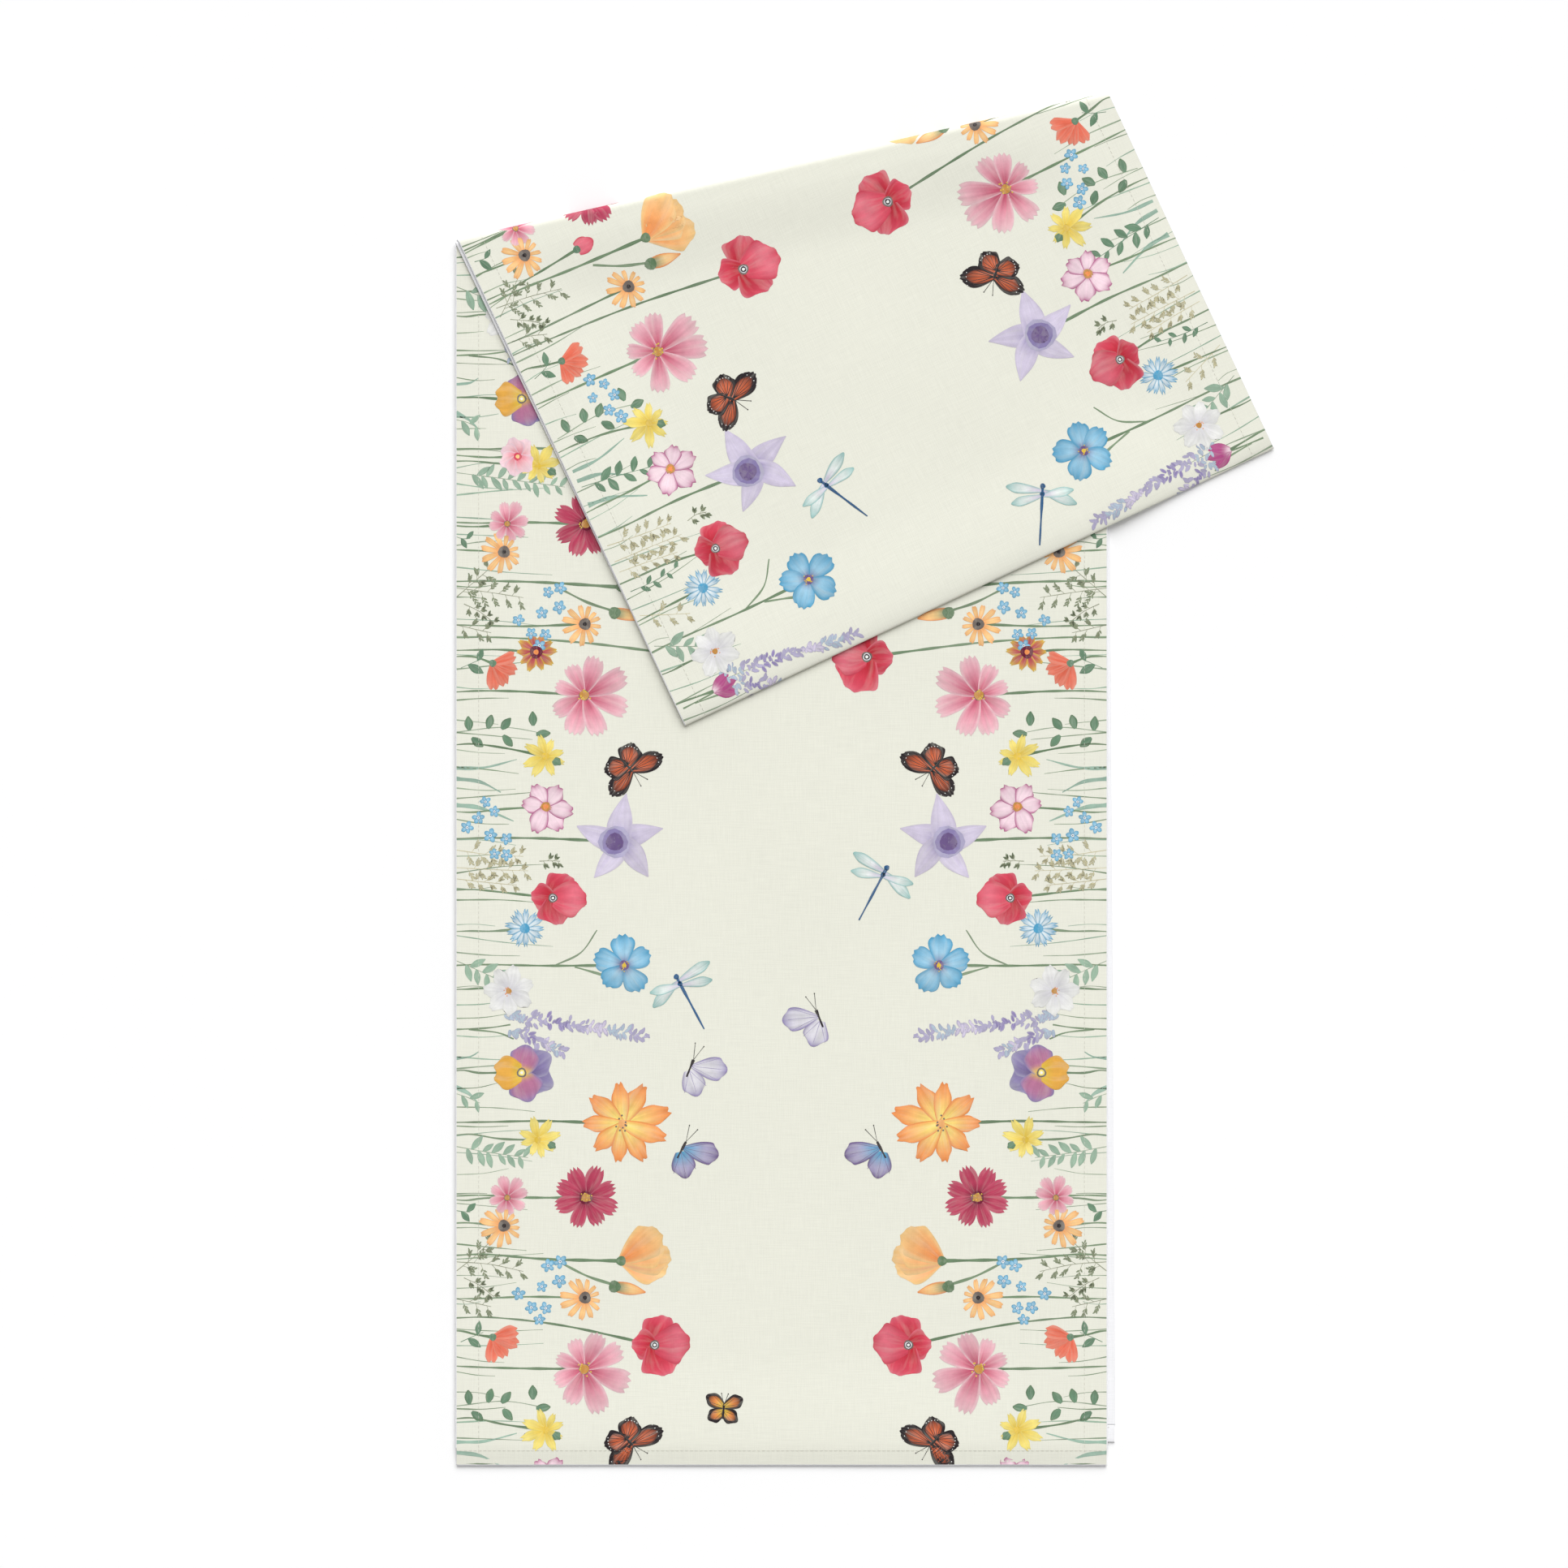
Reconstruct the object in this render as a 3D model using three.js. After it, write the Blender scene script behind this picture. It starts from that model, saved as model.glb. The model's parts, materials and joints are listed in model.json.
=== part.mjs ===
// A printed table runner, laid folded: first in half, then its doubled top turned over on a diagonal.
// Millimetres, +Z up. X runs across the runner and Y along it. The origin is at the middle of the
// underside of the bounding box, where the runner rests on its table.
//
// The runner is one long strip of cloth. Each piece of it is described flat, by how far it reaches
// across the strip, along the strip and out of the cloth towards its printed side. It is then laid
// through three folds in turn: the inner diagonal crease, the half fold and the outer diagonal crease.
// From the table up, this makes four layers: the lower layer, the upper layer, the flap's under layer
// and the flap's top layer. The lower end is the end of the strip that the upper layer covers.

import * as THREE from 'three';

// Driving dimensions
const WIDTH = 406.4;
const STRIP_LENGTH = 2188.5;
const UPPER_LAYER_LENGTH = 765; // from the upper end to the diagonal fold, along the left edge
const FLAP_LENGTH = 335.5; // from the diagonal fold to the half fold, along the left edge
const DIAGONAL_ANGLE = THREE.MathUtils.degToRad(12.7); // of the diagonal fold, away from square
const HALF_FOLD_ANGLE = THREE.MathUtils.degToRad(0.18); // of the half fold, away from square
const CLOTH = 0.4; // thickness of one ply
const HEM_PLIES = 2; // turned under, besides the cloth itself
const SIDE_HEM = 15.7;
const END_HEM = 10.6;
const SEAM_INSET = 1.5; // from a hem's inner edge to its seam
const THREAD = 0.2;
const GAP = 0.3; // between solids that lie against each other
const THREAD_CLEARANCE = 0.05; // between a thread and the ply it lies on
const FACET_ANGLE = Math.PI / 16; // of each flat facet in a bend

// How far the plies and threads lie out of the middle of the cloth. The hems are on its reverse.
const clothOut = [-CLOTH / 2, CLOTH / 2];
const hemOut = [clothOut[0] - GAP - HEM_PLIES * CLOTH, clothOut[0] - GAP];
const needleOut = [clothOut[0] - THREAD_CLEARANCE - THREAD, clothOut[0] - THREAD_CLEARANCE];
const bobbinOut = [hemOut[0] - THREAD_CLEARANCE - THREAD, hemOut[0] - THREAD_CLEARANCE];

// Radii of the bends at the middle of the cloth. Where printed sides meet, the layers are one gap
// apart, and where reverses meet, their bobbin threads are.
const innerRadius = clothOut[1] + GAP / 2;
const halfFoldRadius = GAP / 2 - bobbinOut[0];
const outerRadius = innerRadius + 2 * halfFoldRadius;

// Both diagonal creases bend about one line, at the middle height of the whole stack.
const diagonalHeight = outerRadius + clothOut[1];
const halfFoldHeight = diagonalHeight + innerRadius + halfFoldRadius;

// Plan directions and corners, with the strip's upper end along X and its left edge along Y.
const heading = (angle) => new THREE.Vector3(Math.cos(angle), Math.sin(angle), 0);
const diagonalInward = heading(DIAGONAL_ANGLE - Math.PI / 2);
const flapHeading = heading(2 * DIAGONAL_ANGLE - Math.PI / 2);
const halfFoldInward = heading(2 * DIAGONAL_ANGLE - HALF_FOLD_ANGLE + Math.PI / 2);
const diagonalCorner = new THREE.Vector3(0, UPPER_LAYER_LENGTH, 0);
const halfFoldCorner = diagonalCorner.clone().addScaledVector(flapHeading, FLAP_LENGTH);

// Each fold has a point on its outer edge in plan, the way from there into the folded cloth, how far
// that way the centre of its bend lies and at what height, and the cloth's radius. Then follow
// whether the cloth climbs (1) or comes down (-1), and whether its printed side is outside (1) or
// inside (-1).
const diagonal = { edge: diagonalCorner, inward: diagonalInward, reach: diagonalHeight, height: diagonalHeight };
const innerCrease = { ...diagonal, radius: innerRadius, climb: 1, printed: -1 };
const outerCrease = { ...diagonal, radius: outerRadius, climb: -1, printed: 1 };
const halfFold = {
  edge: halfFoldCorner,
  inward: halfFoldInward,
  reach: halfFoldRadius + clothOut[1],
  height: halfFoldHeight,
  radius: halfFoldRadius,
  climb: 1,
  printed: 1,
};
const folds = [innerCrease, halfFold, outerCrease];

const bentLength = (fold) => Math.PI * fold.radius;

// How far in plan a flat point is from the line where the cloth enters a bend.
const distanceBefore = (fold, point) => point.clone().sub(fold.edge).dot(fold.inward) - fold.reach;

// The flat sheet beyond a bend, turned back over it.
function turnBack(point, fold) {
  const before = distanceBefore(fold, point);
  return point.clone().addScaledVector(fold.inward, -2 * before - bentLength(fold));
}

// Where a point of the flat strip lies in the folded runner.
function lay(across, along, out) {
  let point = new THREE.Vector3(across, along, 0);
  const ahead = [...folds];
  while (ahead.length > 1 && distanceBefore(ahead[0], point) < -bentLength(ahead[0])) {
    point = turnBack(point, ahead.shift());
  }
  const [fold] = ahead;
  const before = distanceBefore(fold, point);
  const past = -before - bentLength(fold);
  const angle = THREE.MathUtils.clamp(-before / fold.radius, 0, Math.PI);
  const radius = fold.radius + fold.printed * out;
  const inside = Math.max(before, 0) + Math.max(past, 0) - radius * Math.sin(angle);
  point.addScaledVector(fold.inward, inside - before);
  point.z = fold.height - fold.climb * radius * Math.cos(angle);
  return point;
}

// A mark is a line over the strip: it tells how far along the strip it runs at each place across it.
const atUpperEnd = (inset) => () => inset;
const atLowerEnd = (inset) => () => STRIP_LENGTH - inset;

// The mark where the cloth has passed a share of a fold's bend.
const inBend = (fold, share) => (across) => {
  const earlier = folds.slice(0, folds.indexOf(fold));
  const distanceAt = (along) => distanceBefore(fold, earlier.reduce(turnBack, new THREE.Vector3(across, along, 0)));
  const atStart = distanceAt(0);
  return (atStart + share * bentLength(fold)) / (atStart - distanceAt(1));
};

// The marks of the facets between two shares of a bend.
function aroundBend(fold, from, to) {
  const facets = Math.ceil(((to - from) * Math.PI) / FACET_ANGLE);
  const step = (to - from) / facets;
  return Array.from({ length: facets + 1 }, (_, index) => inBend(fold, from + index * step));
}

// The share of a bend that is left open beside a cut.
const cutShare = (fold) => GAP / 2 / bentLength(fold);
const beforeMiddle = (fold) => 0.5 - cutShare(fold);
const afterMiddle = (fold) => 0.5 + cutShare(fold);

// The marks of each stretch of the strip, in order. The creases are cut at their middles, where the
// flap turns.
const upperStretch = (inset) => [atUpperEnd(inset), ...aroundBend(innerCrease, 0, beforeMiddle(innerCrease))];
const flapUnderStretch = [
  ...aroundBend(innerCrease, afterMiddle(innerCrease), 1),
  inBend(halfFold, -cutShare(halfFold)),
];
const halfFoldStretch = aroundBend(halfFold, cutShare(halfFold), 1 - cutShare(halfFold));
const flapTopStretch = [
  inBend(halfFold, 1 + cutShare(halfFold)),
  ...aroundBend(outerCrease, 0, beforeMiddle(outerCrease)),
];
const flapStretch = [
  ...aroundBend(innerCrease, afterMiddle(innerCrease), 1),
  ...aroundBend(halfFold, 0, 1),
  ...aroundBend(outerCrease, 0, beforeMiddle(outerCrease)),
];
const lowerStretch = (inset) => [...aroundBend(outerCrease, afterMiddle(outerCrease), 1), atLowerEnd(inset)];

const printedCloth = new THREE.MeshStandardMaterial({ color: 0xecece0, roughness: 0.9, metalness: 0 });
const hemmedCloth = new THREE.MeshStandardMaterial({ color: 0xf7f7f4, roughness: 0.92, metalness: 0 });
const thread = new THREE.MeshStandardMaterial({ color: 0xe4e3d6, roughness: 0.6, metalness: 0 });

const runner = new THREE.Group();

// Adds one piece of the strip: a flat box of cloth or thread, laid through the folds.
function addPiece(name, material, across, marks, out) {
  const steps = marks.length - 1;
  const geometry = new THREE.BoxGeometry(1, steps, 1, 1, steps, 1);
  const corners = geometry.attributes.position;
  for (let index = 0; index < corners.count; index += 1) {
    const side = across[corners.getX(index) < 0 ? 0 : 1];
    const mark = marks[Math.round(corners.getY(index) + steps / 2)];
    const outward = out[corners.getZ(index) < 0 ? 0 : 1];
    const place = lay(side, mark(side), outward);
    corners.setXYZ(index, place.x, place.y, place.z);
  }
  geometry.computeVertexNormals();
  const piece = new THREE.Mesh(geometry, material);
  piece.name = name;
  runner.add(piece);
}

// The cloth itself, in the five stretches between its ends, its crease middles and its half fold.
function addCloth() {
  const stretches = {
    lower_layer: lowerStretch(0),
    upper_layer: upperStretch(0),
    flap_under_layer: flapUnderStretch,
    half_fold: halfFoldStretch,
    flap_top_layer: flapTopStretch,
  };
  for (const [name, marks] of Object.entries(stretches)) {
    addPiece(name, printedCloth, [0, WIDTH], marks, clothOut);
  }
}

// What lies along the left edge, given by how far its two sides are from that edge, and the same on
// the right edge.
function alongBothEdges(nearEdge, farEdge) {
  return { left: [nearEdge, farEdge], right: [WIDTH - farEdge, WIDTH - nearEdge] };
}

// The turned-under plies of the side hems, which start where the end hems stop.
function addSideHems() {
  const stretches = {
    lower_hem: lowerStretch(END_HEM + GAP),
    upper_hem: upperStretch(END_HEM + GAP),
    flap_under_hem: flapUnderStretch,
    half_fold_hem: halfFoldStretch,
    flap_top_hem: flapTopStretch,
  };
  for (const [side, across] of Object.entries(alongBothEdges(0, SIDE_HEM))) {
    for (const [name, marks] of Object.entries(stretches)) {
      addPiece(`${name}_${side}`, hemmedCloth, across, marks, hemOut);
    }
  }
}

function addEndHems() {
  addPiece('lower_hem_end', hemmedCloth, [0, WIDTH], [atLowerEnd(END_HEM), atLowerEnd(0)], hemOut);
  addPiece('upper_hem_end', hemmedCloth, [0, WIDTH], [atUpperEnd(0), atUpperEnd(END_HEM)], hemOut);
}

// Each seam is a needle thread against the cloth and a bobbin thread on the hem. A side seam is cut
// where the flap turns, and starts where the end hems stop.
function addSideSeams() {
  const middle = SIDE_HEM - SEAM_INSET;
  const edges = alongBothEdges(middle - THREAD / 2, middle + THREAD / 2);
  const stretches = {
    lower: lowerStretch(END_HEM + GAP),
    upper: upperStretch(END_HEM + GAP),
    flap: flapStretch,
  };
  for (const [side, across] of Object.entries(edges)) {
    for (const [name, marks] of Object.entries(stretches)) {
      addPiece(`${name}_needle_thread_${side}`, thread, across, marks, needleOut);
      addPiece(`${name}_bobbin_thread_${side}`, thread, across, marks, bobbinOut);
    }
  }
}

function addEndSeams() {
  const near = END_HEM - SEAM_INSET - THREAD / 2;
  const far = near + THREAD;
  const seams = { lower: [atLowerEnd(far), atLowerEnd(near)], upper: [atUpperEnd(near), atUpperEnd(far)] };
  for (const [name, marks] of Object.entries(seams)) {
    addPiece(`${name}_needle_thread_end`, thread, [0, WIDTH], marks, needleOut);
    addPiece(`${name}_bobbin_thread_end`, thread, [0, WIDTH], marks, bobbinOut);
  }
}

addCloth();
addSideHems();
addEndHems();
addSideSeams();
addEndSeams();

// The strip's own corner was the origin so far: this moves it to the middle of the underside.
const box = new THREE.Box3().setFromObject(runner);
const middle = box.getCenter(new THREE.Vector3());
runner.position.set(-middle.x, -middle.y, -box.min.z);

export default runner;
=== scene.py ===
import json
import math
from dataclasses import dataclass, replace

import bmesh
import bpy
import numpy as np
from bpy.props import FloatProperty, FloatVectorProperty
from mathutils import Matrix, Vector


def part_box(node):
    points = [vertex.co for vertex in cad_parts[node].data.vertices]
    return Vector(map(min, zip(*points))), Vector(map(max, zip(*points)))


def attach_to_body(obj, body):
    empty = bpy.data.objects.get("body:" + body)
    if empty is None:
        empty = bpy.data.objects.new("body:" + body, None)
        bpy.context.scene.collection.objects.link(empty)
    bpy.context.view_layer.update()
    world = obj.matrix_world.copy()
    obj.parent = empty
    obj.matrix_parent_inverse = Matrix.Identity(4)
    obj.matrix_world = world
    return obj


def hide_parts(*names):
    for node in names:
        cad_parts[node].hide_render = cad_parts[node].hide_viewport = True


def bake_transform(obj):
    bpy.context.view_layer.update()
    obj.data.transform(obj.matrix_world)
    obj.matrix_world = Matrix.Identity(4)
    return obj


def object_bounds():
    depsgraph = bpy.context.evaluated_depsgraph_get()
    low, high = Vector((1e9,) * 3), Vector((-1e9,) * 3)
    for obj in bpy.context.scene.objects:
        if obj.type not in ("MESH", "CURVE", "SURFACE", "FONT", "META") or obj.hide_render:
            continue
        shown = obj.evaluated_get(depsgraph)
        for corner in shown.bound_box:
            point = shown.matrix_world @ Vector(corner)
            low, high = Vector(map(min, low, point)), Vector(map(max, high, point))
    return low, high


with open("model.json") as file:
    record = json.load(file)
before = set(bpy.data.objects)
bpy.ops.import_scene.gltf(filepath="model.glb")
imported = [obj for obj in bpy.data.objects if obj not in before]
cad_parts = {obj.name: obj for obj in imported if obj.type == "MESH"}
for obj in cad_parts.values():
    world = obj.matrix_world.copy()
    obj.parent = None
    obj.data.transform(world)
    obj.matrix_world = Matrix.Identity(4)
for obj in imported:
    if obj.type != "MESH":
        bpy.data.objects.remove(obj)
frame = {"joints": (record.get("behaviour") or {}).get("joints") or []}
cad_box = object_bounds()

bl_info = {
    "name": "Folded table runner",
    "version": (1, 0, 0),
    "blender": (4, 5, 0),
    "location": "3D View > Sidebar > Runner",
    "description": "Sews and prints a long table runner and lays it folded, with its far end as a flap",
    "category": "Add Mesh",
}

# The design is in millimetres. The cloth is one strip, described flat: across it from its left edge,
# along it from its upper end, and out of its middle towards the printed side.
MM = 0.001
hinge = frame["joints"][0]
hinge_point = Vector(hinge["pos_m"]) / MM
hinge_line = Vector(hinge["axis"])
strip_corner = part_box("upper_layer")[0] / MM
WIDTH = (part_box("upper_hem_end")[1].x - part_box("upper_hem_end")[0].x) / MM
STRIP_LENGTH = 2188.5
UPPER_LAYER_LENGTH = hinge_point.y - strip_corner.y  # along the left edge, up to the diagonal fold
FLAP_LENGTH = 335.5  # along the left edge, from the diagonal fold to the half fold
DIAGONAL_ANGLE = math.atan2(-hinge_line.y, -hinge_line.x)
HALF_FOLD_ANGLE = math.radians(0.18)

# Heights of the middle of the cloth in each layer, where its hems carry the layers above.
LOWER_HEIGHT = 0.35
UPPER_HEIGHT = 3.35
FLAP_UNDER_HEIGHT = 4.55
FLAP_TOP_HEIGHT = 7.5

CREASE_BAND = 12.0  # of the cloth on each side of a crease, which goes into the crease's own pieces
GRID = 5.0  # of the cloth's own mesh

# How loosely the cloth lies beside what presses it flat: where it lets go, how far on it has settled, and
# how much lower it is there.
HEM_SHOULDER = 17.0  # from a finished edge
HEM_SETTLING = 55.0
CREASE_SETTLING = 45.0
HALF_FOLD_SETTLING = 50.0
CREASE_NESTING = 1.9  # between the hems, the inner crease reaches on into the outer one
UPPER_END_FALL, UPPER_END_REACH = 0.3, 80.0
UPPER_TIP_FALL, UPPER_TIP_REACH = 1.3, 11.0
OVERHANG_START, OVERHANG_REACH = 2.0, 62.0  # beyond the right edge of the upper layer
PUCKER_REACH = 6.0  # on both sides of a seam
TURNED_WEAVE = 40.0  # how far the weave runs on round an edge for each millimetre out


def smooth(share):
    """Rises gently from 0 to 1 as share does."""
    share = np.clip(share, 0.0, 1.0)
    return share * share * (3.0 - 2.0 * share)


def linear_colour(code):
    """The linear colour that a six-figure colour code stands for."""
    parts = [(code >> shift & 255) / 255 for shift in (16, 8, 0)]
    return [part / 12.92 if part <= 0.04045 else ((part + 0.055) / 1.055) ** 2.4 for part in parts]


def colour(name, description, code):
    return FloatVectorProperty(
        name=name, description=description, default=linear_colour(code), subtype="COLOR", size=3, min=0, max=1
    )


def length(name, description, millimetres):
    return FloatProperty(
        name=name, description=description, default=millimetres * MM,
        unit="LENGTH", subtype="DISTANCE", precision=5,
    )


class RunnerSizes(bpy.types.PropertyGroup):
    """Sizes of the sewing and of how the cloth lies."""

    cloth: length("Cloth", "Thickness of one ply of the cloth", 0.4)
    ply_gap: length("Ply gap", "Air between the plies of a pressed hem", 0.02)
    side_hem: length("Side hem", "Finished width of the hems along the sides", 15.7)
    end_hem: length("End hem", "Finished width of the hems at the ends", 10.6)
    seam_inset: length("Seam inset", "From a hem's inner edge to its seam", 1.5)
    stitch: length("Stitch", "Length of one stitch", 2.5)
    stitch_gap: length("Stitch gap", "Between two stitches, where the thread dives into the cloth", 0.5)
    thread: length("Thread", "Thickness of the sewing thread", 0.3)
    sag: length("Sag", "How far each layer settles between its hems", 1.7)
    wave: length("Wave", "Height of the slow waves in the cloth", 0.22)
    pucker: length("Pucker", "Height of the small waves along the seams", 0.045)
    droop: length("Droop", "How far the flap's free corner hangs towards the table", 3.8)
    yarn: length("Yarn", "From one yarn of the weave to the next", 0.62)


class RunnerColours(bpy.types.PropertyGroup):
    """Colours of the cloth, its thread and the floor."""

    ground: colour("Ground", "Printed ground of the cloth", 0xE1E1D4)
    reverse: colour("Reverse", "Unprinted reverse and hems", 0xEAEAEC)
    thread: colour("Thread", "Sewing thread", 0xDDDCCF)
    floor: colour("Floor", "Pale floor", 0xFBFBFB)


class PrintInks(bpy.types.PropertyGroup):
    """Colours of the printed border, each named for what it paints."""

    stem: colour("Stem", "Stems of the flowers", 0x7A8F72)
    dark_stem: colour("Dark stem", "Shaded ends of stems, and calyxes", 0x627D5D)
    grass: colour("Grass", "Fine grasses between the stems", 0x8FA188)
    blade: colour("Blade", "Broad blades", 0x93B1A0)
    leaf: colour("Leaf", "Oval leaves", 0x65866C)
    pale_leaf: colour("Pale leaf", "Leaves of the sprigs", 0x94B09A)
    wheat: colour("Wheat", "Ears of the meadow grass", 0x8A8F74)
    seed: colour("Seed", "Beige seeds", 0xC3BB97)
    ochre: colour("Ochre", "Middles of the daisies", 0xC08A45)
    brown: colour("Brown", "Dark middles", 0x6F6660)
    black: colour("Black", "Wing rims, veins and bodies of the butterflies", 0x2A2326)
    white: colour("White", "White petals and dots", 0xF0F0EC)
    faint: colour("Faint", "Petals hardly lighter than the cloth", 0xE6E6E3)
    grey: colour("Grey", "Shade in the white petals", 0xD2D0D6)
    crimson: colour("Crimson", "Hearts of the poppies", 0xB5202F)
    poppy: colour("Poppy", "Poppy petals", 0xD0465A)
    pale_poppy: colour("Pale poppy", "Rims of the poppy petals", 0xDD6F7F)
    rose: colour("Rose", "Hearts of the cosmos", 0xBC4563)
    cosmos: colour("Cosmos", "Cosmos petals", 0xDF98A8)
    pale_cosmos: colour("Pale cosmos", "Rims of the cosmos petals", 0xEBC3C9)
    wine: colour("Wine", "Hearts of the dark cosmos", 0x6B1B33)
    dark_cosmos: colour("Dark cosmos", "Dark cosmos petals", 0xB03B57)
    claret: colour("Claret", "Rims of the dark cosmos petals", 0xC2566E)
    magenta: colour("Magenta", "Outlines of the outlined flower, and the crocus", 0xB24E86)
    blush: colour("Blush", "Inside of the outlined petals", 0xF1D6E0)
    coral: colour("Coral", "Coral flower", 0xE0674F)
    pale_coral: colour("Pale coral", "Rims of the coral petals", 0xEC8B74)
    tangerine: colour("Tangerine", "Hearts of the coreopsis and rims of the lily", 0xEC8E4E)
    apricot: colour("Apricot", "Coreopsis and lily petals", 0xF3B273)
    peach: colour("Peach", "Pale orange petals", 0xF6CD8D)
    amber: colour("Amber", "Lip of the pansy", 0xE3A94A)
    gold: colour("Gold", "Hearts of the yellow flowers", 0xDDBB45)
    yellow: colour("Yellow", "Yellow petals", 0xEEDB78)
    navy: colour("Navy", "Hearts of the forget-me-nots and dragonfly bodies", 0x2F5A85)
    blue: colour("Blue", "Blue petals", 0x519EC4)
    sky: colour("Sky", "Pale blue petals", 0xA6CFE4)
    violet: colour("Violet", "Throats of the blue flower and the bellflower", 0x6A5584)
    lilac: colour("Lilac", "Bellflower petals", 0xCCC3D8)
    plum: colour("Plum", "Side petals of the pansy", 0xB0708F)
    mauve: colour("Mauve", "Back petals of the pansy", 0x8B7FAE)
    lavender: colour("Lavender", "Lavender flowers", 0xABA5C2)
    mist: colour("Mist", "Pale blue-grey lavender flowers", 0xA9BBC9)
    teal: colour("Teal", "Wing tips of the dragonfly", 0x8FBDB9)
    rust: colour("Rust", "Cells of the large butterfly's wings", 0xD0653F)


def in_millimetres(name):
    """A size of the settings, in millimetres."""
    return getattr(bpy.context.scene.runner_sizes, name) / MM


def ply():
    """From the middle of one ply of a hem to the middle of the next."""
    return in_millimetres("cloth") + in_millimetres("ply_gap")


# --- How the flat strip is laid -------------------------------------------------------------------


def heading(angle):
    return np.array([math.cos(angle), math.sin(angle)])


class Fold:
    """A bend across the strip.

    edge and inward say where its outer edge runs in plan, in the strip's own corner frame. controls are
    the corners of a smooth line that the middle of the cloth follows, as distances inside that edge and
    heights. side is 1 where the printed side faces up before the bend, and -1 where it faces down.
    """

    SAMPLES = 240

    def __init__(self, edge, inward, side, controls):
        self.edge, self.inward, self.side = np.array(edge), inward, side
        share = np.linspace(0.0, 1.0, self.SAMPLES)[:, None]
        corners = np.array(controls, float)
        parts = []
        for first in range(0, len(corners) - 1, 3):
            a, b, c, d = corners[first : first + 4]
            curve = a * (1 - share) ** 3 + 3 * b * share * (1 - share) ** 2 + 3 * c * share**2 * (1 - share)
            parts.append((curve + d * share**3)[1 if first else 0 :])
        line = np.concatenate(parts)
        steps = np.linalg.norm(np.diff(line, axis=0), axis=1)
        self.arcs = np.concatenate([[0.0], np.cumsum(steps)])
        self.line = line
        tangent = np.gradient(line, self.arcs, axis=0)
        self.tangent = tangent / np.linalg.norm(tangent, axis=1)[:, None]
        self.length = self.arcs[-1]
        self.start = line[0, 0]

    def arc(self, plan):
        """How much cloth lies between the start of the bend and points of the sheet in plan."""
        return self.start - (plan - self.edge) @ self.inward

    def sample(self, arcs, values):
        return np.column_stack([np.interp(arcs, self.arcs, column) for column in values.T])

    def turned_back(self, plan):
        """The flat sheet beyond the bend, where it lies after it."""
        inside = self.line[-1, 0] + self.arc(plan) - self.length
        return plan + np.outer(inside - (plan - self.edge) @ self.inward, self.inward)


def round_bend(inside, bottom, top, climbs):
    """Corners of a half circle between two heights, for a cloth that climbs or comes down."""
    radius = (top - bottom) / 2
    middle = (top + bottom) / 2
    handle = 0.5523 * radius
    centre = inside + radius
    first, last = (bottom, top) if climbs else (top, bottom)
    lean = handle if climbs else -handle
    return [
        (centre, first), (centre - handle, first), (inside, middle - lean), (inside, middle),
        (inside, middle + lean), (centre - handle, last), (centre, last),
    ]


def make_folds():
    """The inner diagonal crease, the half fold and the outer diagonal crease, in the cloth's order."""
    half_cloth = in_millimetres("cloth") / 2
    hem_stack = 2 * ply() + half_cloth + in_millimetres("thread") / 2
    inner_inside = 2 * hem_stack + half_cloth  # the hems of both creases lie between their cloths
    diagonal_inward = heading(DIAGONAL_ANGLE - math.pi / 2)
    diagonal_corner = np.array([0.0, UPPER_LAYER_LENGTH])
    half_fold_corner = diagonal_corner + FLAP_LENGTH * heading(2 * DIAGONAL_ANGLE - math.pi / 2)
    half_fold_inward = heading(2 * DIAGONAL_ANGLE - HALF_FOLD_ANGLE + math.pi / 2)
    roll = [
        (18.0, FLAP_UNDER_HEIGHT), (8.0, FLAP_UNDER_HEIGHT - 0.1), (half_cloth, 4.6), (half_cloth, 5.4),
        (half_cloth, 6.5), (5.5, FLAP_TOP_HEIGHT + 0.35), (18.0, FLAP_TOP_HEIGHT),
    ]
    return [
        Fold(
            diagonal_corner, diagonal_inward, 1,
            round_bend(inner_inside, UPPER_HEIGHT, FLAP_UNDER_HEIGHT, climbs=True),
        ),
        Fold(half_fold_corner, half_fold_inward, -1, roll),
        Fold(
            diagonal_corner, diagonal_inward, 1,
            round_bend(half_cloth, LOWER_HEIGHT, FLAP_TOP_HEIGHT, climbs=False),
        ),
    ]


def hem_rise(distance):
    """1 on a hem, and falling to 0 where the cloth has settled beside it."""
    return 1 - smooth((distance - HEM_SHOULDER) / HEM_SETTLING)


def crease_rise(distance):
    """0 on the band of a crease, and rising to 1 where the cloth has settled beside it."""
    return smooth((distance - CREASE_BAND) / CREASE_SETTLING)


def side_distance(across):
    return np.minimum(across, WIDTH - across)


def slow_waves(plan):
    """Waves of about a hand's width, between -1 and 1."""
    x, y = plan[:, 0], plan[:, 1]
    waves = (x / 19.0 + y / 43.0, y / 23.0 - x / 61.0 + 1.3, (x + y) / 37.0 + 2.1)
    return sum(np.sin(wave) for wave in waves) / 3


def settled_height(plan, crease_distance):
    """How far the upper layer, and what lies on it, is from the height of its hems."""
    end_distance = plan[:, 1]
    free = (1 - hem_rise(side_distance(plan[:, 0]))) * (1 - hem_rise(end_distance))
    inner = crease_rise(crease_distance)
    settled = (in_millimetres("wave") * slow_waves(plan) - in_millimetres("sag") * free) * inner
    # The upper end reaches past the lower end and comes down over it.
    settled -= UPPER_END_FALL * smooth(1 - end_distance / UPPER_END_REACH)
    settled -= UPPER_TIP_FALL * smooth(1 - end_distance / UPPER_TIP_REACH)
    # What lies beyond the upper layer's right edge hangs towards the table.
    overhang = smooth((plan[:, 0] - WIDTH - OVERHANG_START) / OVERHANG_REACH)
    return settled - in_millimetres("droop") * overhang * inner


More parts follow.
